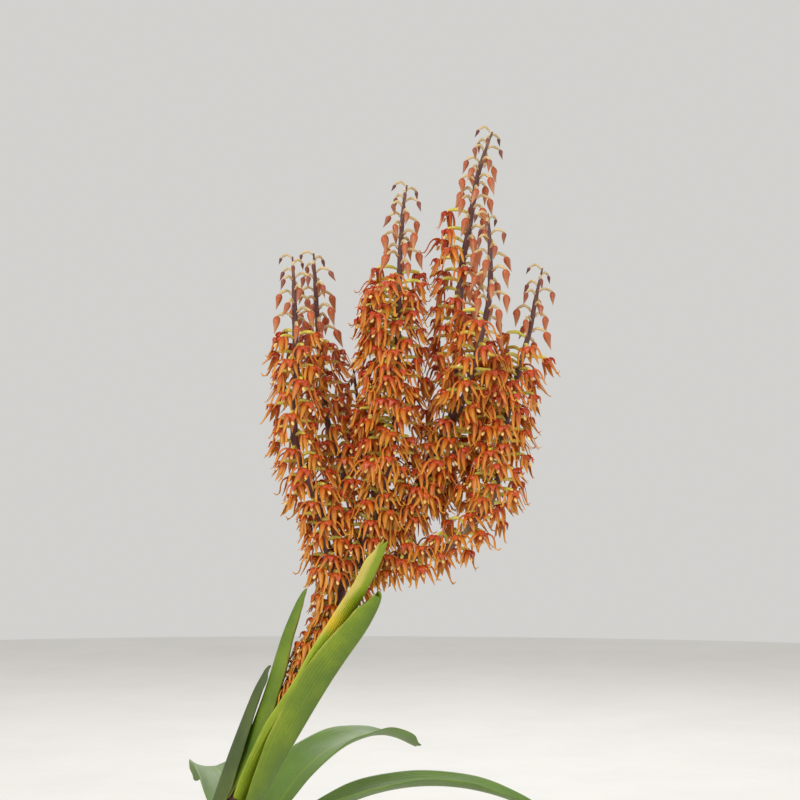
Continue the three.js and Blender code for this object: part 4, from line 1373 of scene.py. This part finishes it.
class FlowerParts:
    """One flower's parts, hanging from its crown at the origin with its lip towards +X, in millimetres."""

    # how wide each kind of flower opens on its left and right, and how far its petals curl
    OPENINGS = ((0.55, 0.8), (0.85, 0.7), (1.0, 1.15), (1.3, 0.95), (1.2, 1.45))
    CURLS = (0.0, 0.35, 0.8, 0.15, 1.2)

    def __init__(self):
        self.sepals = [self.make_sepals(k, hands) for k, hands in enumerate(self.OPENINGS)]
        self.petals = [self.make_petals(k, *both) for k, both in enumerate(zip(self.OPENINGS, self.CURLS))]
        self.lips = [self.make_lip(k, drop) for k, drop in enumerate((0.0, 0.25, -0.2))]
        self.columns = [self.make_column()]
        self.buds = [self.make_bud(k, bend) for k, bend in enumerate((0.2, 0.6, 1.0))]
        self.bracts = [self.make_bract()]

    def make_sepals(self, number, hands):
        """Two side sepals that swell out into the hood, and the narrow rear sepal."""
        pieces = []
        for hand, opening in zip((-1, 1), hands):
            spine = [
                (-0.5, hand * 0.5, -0.2), (0.4, hand * 1.5, -0.6),
                (0.85 + 0.25 * opening, hand * (1.9 + 0.35 * opening), -2.4),
                (1.0 + 0.45 * opening, hand * (1.85 + 0.95 * opening), -4.6),
                (1.35 + 0.8 * opening, hand * (1.8 + 1.65 * opening), -7.5 + 0.5 * opening),
            ]
            facing = (1, hand, 0.35)
            pieces.append(blade("side_sepal", spine, (0.7, 1.25, 0.92, 0.55, 0.05), facing, 0.4))
        opening = sum(hands) / 2
        spine = [(-0.8, 0, -0.25), (-1.45, 0, -1.6), (-1.35, 0, -3.8), (-0.8 - 0.7 * opening, 0, -6.7)]
        pieces.append(blade("rear_sepal", spine, (0.6, 1.05, 0.7, 0.04), (-1, 0, 0.1), 0.35))
        return join(pieces, "sepals_%d" % number)

    def make_petals(self, number, hands, curl):
        """Two narrow petals that arch out at the sides, hang and curl at their ends."""
        pieces = []
        for hand, opening in zip((-1, 1), hands):
            far = 3.0 + 1.6 * opening
            spine = [
                (0.0, hand * 1.2, -0.4), (0.35, hand * (2.0 + 0.8 * opening), -0.6),
                (0.5, hand * (2.8 + 1.2 * opening), -2.1), (0.7, hand * far, -4.4),
                (1.1, hand * (far + 0.3 + 0.5 * curl), -6.1 + 0.4 * curl),
                (1.5, hand * (far + 0.7 + 1.1 * curl), -6.7 + 1.7 * curl),
            ]
            widths = (0.34, 0.32, 0.34, 0.42, 0.36, 0.08)
            facing = (1, hand * 0.8, 0.1)
            pieces.append(blade("petal", spine, widths, facing, 0.3, cells=(1, 8), thickness=0.2))
        return join(pieces, "petals_%d" % number)

    def make_lip(self, number, drop):
        """The fleshy red hood with its tongue, which curls up at the end."""

        def swell(co):
            deep = 1.1 if co.z > 0 else 0.8
            chin = 0.35 * max(co.x, 0) ** 2
            return Vector((0.25 + 1.5 * co.x + chin, 1.8 * co.y, -1.15 + deep * co.z))

        hood = ball("hood", 12, 7, swell)
        spine = [
            (3.0, 0, -2.9 - drop), (2.5, 0, -2.5 - drop), (2.35, 0, -1.5 - drop), (1.9, 0, -0.7),
            (0.9, 0, -0.4),
        ]
        widths = (0.12, 0.5, 0.85, 1.05, 0.9)
        tongue = blade("tongue", spine, widths, (1, 0, 0.3), -0.3, cells=(3, 6), thickness=0.2)
        return join([hood, tongue], "lip_%d" % number)

    def make_column(self):
        """The short column under the hood with its cream cap."""

        def place(co):
            return Vector((1.75 + 0.55 * co.x - 0.35 * co.z, 0.54 * co.y, -3.2 + 0.85 * co.z))

        return ball("column", 8, 6, place)

    def make_bud(self, number, bend):
        """A closed bud: a teardrop, fat below its stalk, with its point curved outwards."""

        def place(co):
            depth = (1 - co.z) / 2
            girth = 1.34 * math.sin(math.pi * depth ** 0.56) * (1 - 0.45 * depth) + 0.02
            flat = Vector((co.x, co.y, 0))
            flat = flat.normalized() if flat.length > 1e-5 else flat
            chin = 0.35 * max(co.x, 0) * math.exp(-((depth - 0.2) / 0.15) ** 2)
            ahead = chin + bend * depth ** 2 - 0.1
            return Vector((flat.x * girth + ahead, flat.y * girth, 0.25 - 6.6 * depth))

        return ball("bud_%d" % number, 8, 9, place)

    def make_bract(self):
        """The small pointed bract under a flower stalk, at the origin and pointing along +X."""
        spine = [(0, 0, 0), (0.9, 0, -0.1), (1.7, 0, 0.35), (2.4, 0, 1.0)]
        return blade("bract", spine, (0.75, 0.7, 0.4, 0.03), (0, 0, -1), 0.3, cells=(2, 3))

    def all(self):
        return self.sepals + self.petals + self.lips + self.columns + self.buds + self.bracts


def standing(origin, outward, size, lean=0.0, roll=0.0):
    """The matrix of a part whose +X points outward and that hangs from its origin."""
    side = UP.cross(outward).normalized()
    up = outward.cross(side)
    turned = Matrix((outward, side, up)).transposed().to_4x4()
    turned = turned @ Matrix.Rotation(lean, 4, "Y") @ Matrix.Rotation(roll, 4, "X")
    return Matrix.Translation(origin * MM) @ turned @ Matrix.Scale(size * MM, 4)


class ORCHID_OT_panicle(PieceOperator):
    """Grow the plum axes of the sprays with every stalk, bract, flower and bud"""

    bl_idname = "orchid.panicle"
    bl_label = "Panicle"

    FIRST_SEED = 1000

    def execute(self, context):
        placed, paths = place_flowers()
        parts = FlowerParts()
        finishes = self.finishes()
        for number, spray in enumerate(SPRAYS):
            node = "spray_" + spray
            poses = [pose for pose in placed if pose["spray"] == spray]
            self.grow_stems(node, spray, poses, paths, finishes)
            rows = self.hang(poses, Draws(self.FIRST_SEED + number), len(parts.OPENINGS))
            for part, places in rows.items():
                if places:
                    piece = scatter("%s_%s" % (node, part), getattr(parts, part), places)
                    slot = "rachis" if part == "bracts" else "flower"
                    finish_piece(piece, [finishes[part]], slot, node)
        discard(parts.all())
        return {"FINISHED"}

    def grow_stems(self, node, spray, poses, paths, finishes):
        """The axes of one spray and its stalks."""
        racemes = [name for name, r in RACEMES.items() if r["spray"] == spray and "follows" not in r]
        axes = tube(node + "_axes", [self.axis_line(name, paths[name]) for name in racemes], 10)
        finish_piece(axes, [finishes["rachis"]], "rachis", node)
        for label, opened in (("stalk", True), ("bud_stalk", False)):
            lines = [self.stalk_line(pose) for pose in poses if pose["open"] == opened]
            finish_piece(tube("%s_%ss" % (node, label), lines, 6), [finishes[label]], "stalk", node)

    def hang(self, poses, draws, kinds):
        """Where each part of each flower goes, as rows for scatter."""
        scale = sizes().flower_drop / MM / MODELLED_HANG
        rows = {part: [] for part in ("sepals", "petals", "lips", "columns", "buds", "bracts")}
        for pose in poses:
            lean, tone = draws.within(SWAY), draws.next()
            twist, roll = draws.within(TWIST), draws.within(SWAY)
            level = Matrix.Rotation(twist, 3, "Z") @ pose["level"]
            pick_one = int(draws.next() * TEMPLATE_DRAWS)
            if pose["room"] < NEAR_LEAF:
                pick_one -= pick_one % kinds
                lean, roll, level = STILLED * lean, STILLED * roll, pose["level"]
            matrix = standing(pose["crown"], level, pose["size"] * scale, lean + FLOWER_DROOP, roll)
            if pose["open"]:
                height = pose["crown"].z
                ripe = 1.8 - ease(*RIPENING, height) - 0.8 * ease(*FADING, height)
                shown = TONE["least"] + TONE["own"] * tone + TONE["ripe"] * ripe
                for part in ("sepals", "petals", "lips", "columns"):
                    rows[part].append((pick_one, matrix, shown))
            else:
                age = min(max((pose["size"] - SMALLEST) / (1 - SMALLEST), 0), 1)
                rows["buds"].append((pick_one, matrix, age * (0.8 + 0.2 * tone)))
            rows["bracts"].append((0, standing(pose["centre"], pose["out"], 0.9 * pose["size"]), tone))
        return rows

    def axis_line(self, name, path):
        """The axis of a raceme, a little swollen where stalks leave it."""
        radii = RACEMES[name]["radii"]

        def girth(share, k):
            taper = 0.3 + 0.045 * path.length * (1 - share)
            return min(spread(radii, share), taper) * (1 + 0.07 * math.cos(k * 2.4))

        return stem_line(path, int(path.length / 1.6), girth)

    def stalk_line(self, pose):
        """An arched stalk from inside the axis to the flower's crown, thickest in the middle."""
        thick = sizes().stalk_thickness / MM / 2 * (1 if pose["open"] else 0.6 + 0.2 * pose["size"])
        start, bend, crown = pose["centre"], pose["bend"], pose["crown"]
        near = (start + bend) / 2 + UP * 0.35
        end = crown + pose["level"] * 0.1 - UP * (0.7 * pose["size"])
        path = Path([start, near, bend + UP * 0.2, crown + UP * 0.1, end])
        shape = (0.55, 0.75, 1.0, 1.12, 1.1, 0.95, 0.6)
        return stem_line(path, 8, lambda share, k: thick * spread(shape, share))

    def finishes(self):
        """Each part's finish."""
        hood, sepal, tip, petal = (tint(name) for name in ("hood", "sepal", "sepal_tip", "petal"))
        return {
            "sepals": flower_finish("sepals", [(0.0, hood), (0.16, hood), (0.42, sepal), (0.8, tip)]),
            "petals": flower_finish("petals", [(0.0, petal), (0.35, sepal), (0.85, tip)], 0.15),
            "lips": flower_finish("lips", [(0.0, sepal), (0.42, hood), (1.0, hood)], 0.25, 0.32, sepal),
            "bracts": flower_finish("bracts", [(0.0, tint("rachis")), (1.0, petal)], 0.2),
            "rachis": self.rachis_finish(),
            "stalk": plain_finish("flower_stalks", tint("stalk"), tint("stalk", 0.8), 320, 0.45, 0.25, 0.1),
            "bud_stalk": plain_finish(
                "bud_stalks", tint("bud_stalk"), tint("bud_stalk", 0.7), 260, 0.45, 0.25, 0.1
            ),
            "columns": plain_finish("columns", tint("anther"), tip, 400, 0.35, 0.2, 0.1, strength=0.15),
            "buds": self.bud_finish(tint("young_bud"), tint("bud"), tint("bud_stalk")),
        }

    def rachis_finish(self):
        """Plum skin with a green cast in places and fine furrows along it."""
        plum = tint("rachis")
        cast = tuple(0.5 * (a + b) for a, b in zip(plum, tint("stalk")))
        return plain_finish(
            "rachis", plum, cast, 130, 0.5, 0.4, 0.2, strength=0.4, grain=1600, blend=(0.55, 0.75, 0.0, 0.5)
        )

    def bud_finish(self, young, bud, tip):
        """Buds: plum brown while small and salmon when full, with a paler point that is partly their own
        colour and partly a painted highlight.
        """
        finish = Finish("buds", 0.42, 0.1, (0.002, 0.001, 0.0005))
        across, along = finish.across_and_along()
        veined = finish.veined(across, along, 9)
        aged = finish.over(young, bud, finish.rescale(finish.tone(), 0.1, 0.75))
        # The paler cream point is partly the bud's own colour and partly a painted highlight
        aged = finish.over(aged, tip, finish.rescale(along, 0.7, 0.0, 0.0, 0.85), finish.tone())
        aged = finish.over(aged, shaded(young, 0.6), veined, 0.25)
        return finish.done(aged, finish.patches(500, 0.3)[1], veined, 0.3, 0.1)


# Stage


class ORCHID_OT_stage(PieceOperator):
    """Set the pale floor, the soft lights and the camera at the photograph's height"""

    bl_idname = "orchid.stage"
    bl_label = "Stage"

    MIDDLE = Vector((91.3, 0, 353.2)) * MM  # what the camera looks at
    VIEW_WIDTH = 0.296  # the width of the view where the sprays stand
    SENSOR = 36

    def execute(self, context):
        self.floor()
        self.lights()
        self.camera(context)
        return {"FINISHED"}

    def floor(self):
        """A wide pale floor."""
        deselect()
        bpy.ops.mesh.primitive_circle_add(vertices=128, radius=sizes().floor_width / 2, fill_type="NGON")
        floor = named("floor")
        pale = plain_finish("floor", tint("floor"), tint("floor", 0.96), 8, 0.9, 0.05, 0.5, strength=0.04)
        floor.data.materials.append(pale)

    def lights(self):
        """Soft light from the front left, fill from the right and behind, and a pale surround."""
        world = bpy.data.worlds.new("surround")
        bpy.context.scene.world = world
        world.use_nodes = True
        background = world.node_tree.nodes["Background"]
        background.inputs["Color"].default_value = (*srgb(232, 231, 228), 1)
        background.inputs["Strength"].default_value = 0.8
        for name, place, size, power in (
            ("key", (-0.7, -1.3, 1.35), 0.8, 17),
            ("fill", (1.3, -0.8, 0.8), 1.2, 4),
            ("rear", (0.2, 1.5, 1.2), 1.2, 9),
        ):
            deselect()
            bpy.ops.object.light_add(type="AREA", location=place)
            light = named(name)
            light.data.shape = "DISK"
            light.data.size = size
            light.data.energy = power
            aim = self.MIDDLE * 0.7 - Vector(place)
            light.rotation_euler = aim.to_track_quat("-Z", "Y").to_euler()

    def camera(self, context):
        """A level camera in front of the sprays, with the photograph's framing."""
        distance = sizes().camera_distance
        deselect()
        bpy.ops.object.camera_add(location=self.MIDDLE - BACK * distance)
        camera = named("camera")
        camera.rotation_euler = (math.pi / 2, 0, 0)
        camera.data.sensor_width = self.SENSOR
        camera.data.lens = self.SENSOR * distance / self.VIEW_WIDTH
        camera.data.clip_start = 0.01
        camera.data.dof.use_dof = False
        context.scene.camera = camera
        context.scene.view_settings.view_transform = "Standard"


class ORCHID_PT_panel(bpy.types.Panel):
    """Lists the orchid's pieces in the sidebar"""

    bl_idname = "ORCHID_PT_panel"
    bl_label = "Orchid"
    bl_space_type = "VIEW_3D"
    bl_region_type = "UI"
    bl_category = "Orchid"

    def draw(self, context):
        layout = self.layout
        for operator in PIECES:
            layout.operator(operator.bl_idname)
        for settings in (context.scene.orchid_sizes, context.scene.orchid_colours):
            box = layout.box()
            for key in settings.__annotations__:
                box.prop(settings, key)


PIECES = (
    ORCHID_OT_pot, ORCHID_OT_bark, ORCHID_OT_roots, ORCHID_OT_pseudobulbs, ORCHID_OT_leaves,
    ORCHID_OT_shoot, ORCHID_OT_panicle, ORCHID_OT_stage,
)
CLASSES = (OrchidColours, OrchidSizes, *PIECES, ORCHID_PT_panel)


def register():
    for one in CLASSES:
        bpy.utils.register_class(one)
    bpy.types.Scene.orchid_colours = bpy.props.PointerProperty(type=OrchidColours)
    bpy.types.Scene.orchid_sizes = bpy.props.PointerProperty(type=OrchidSizes)


def unregister():
    del bpy.types.Scene.orchid_sizes
    del bpy.types.Scene.orchid_colours
    for one in reversed(CLASSES):
        bpy.utils.unregister_class(one)


def main():
    register()
    bpy.ops.orchid.pot()
    bpy.ops.orchid.bark()
    bpy.ops.orchid.roots()
    bpy.ops.orchid.pseudobulbs()
    bpy.ops.orchid.leaves()
    bpy.ops.orchid.shoot()
    bpy.ops.orchid.panicle()
    bpy.ops.orchid.stage()


if __name__ == "__main__":
    main()
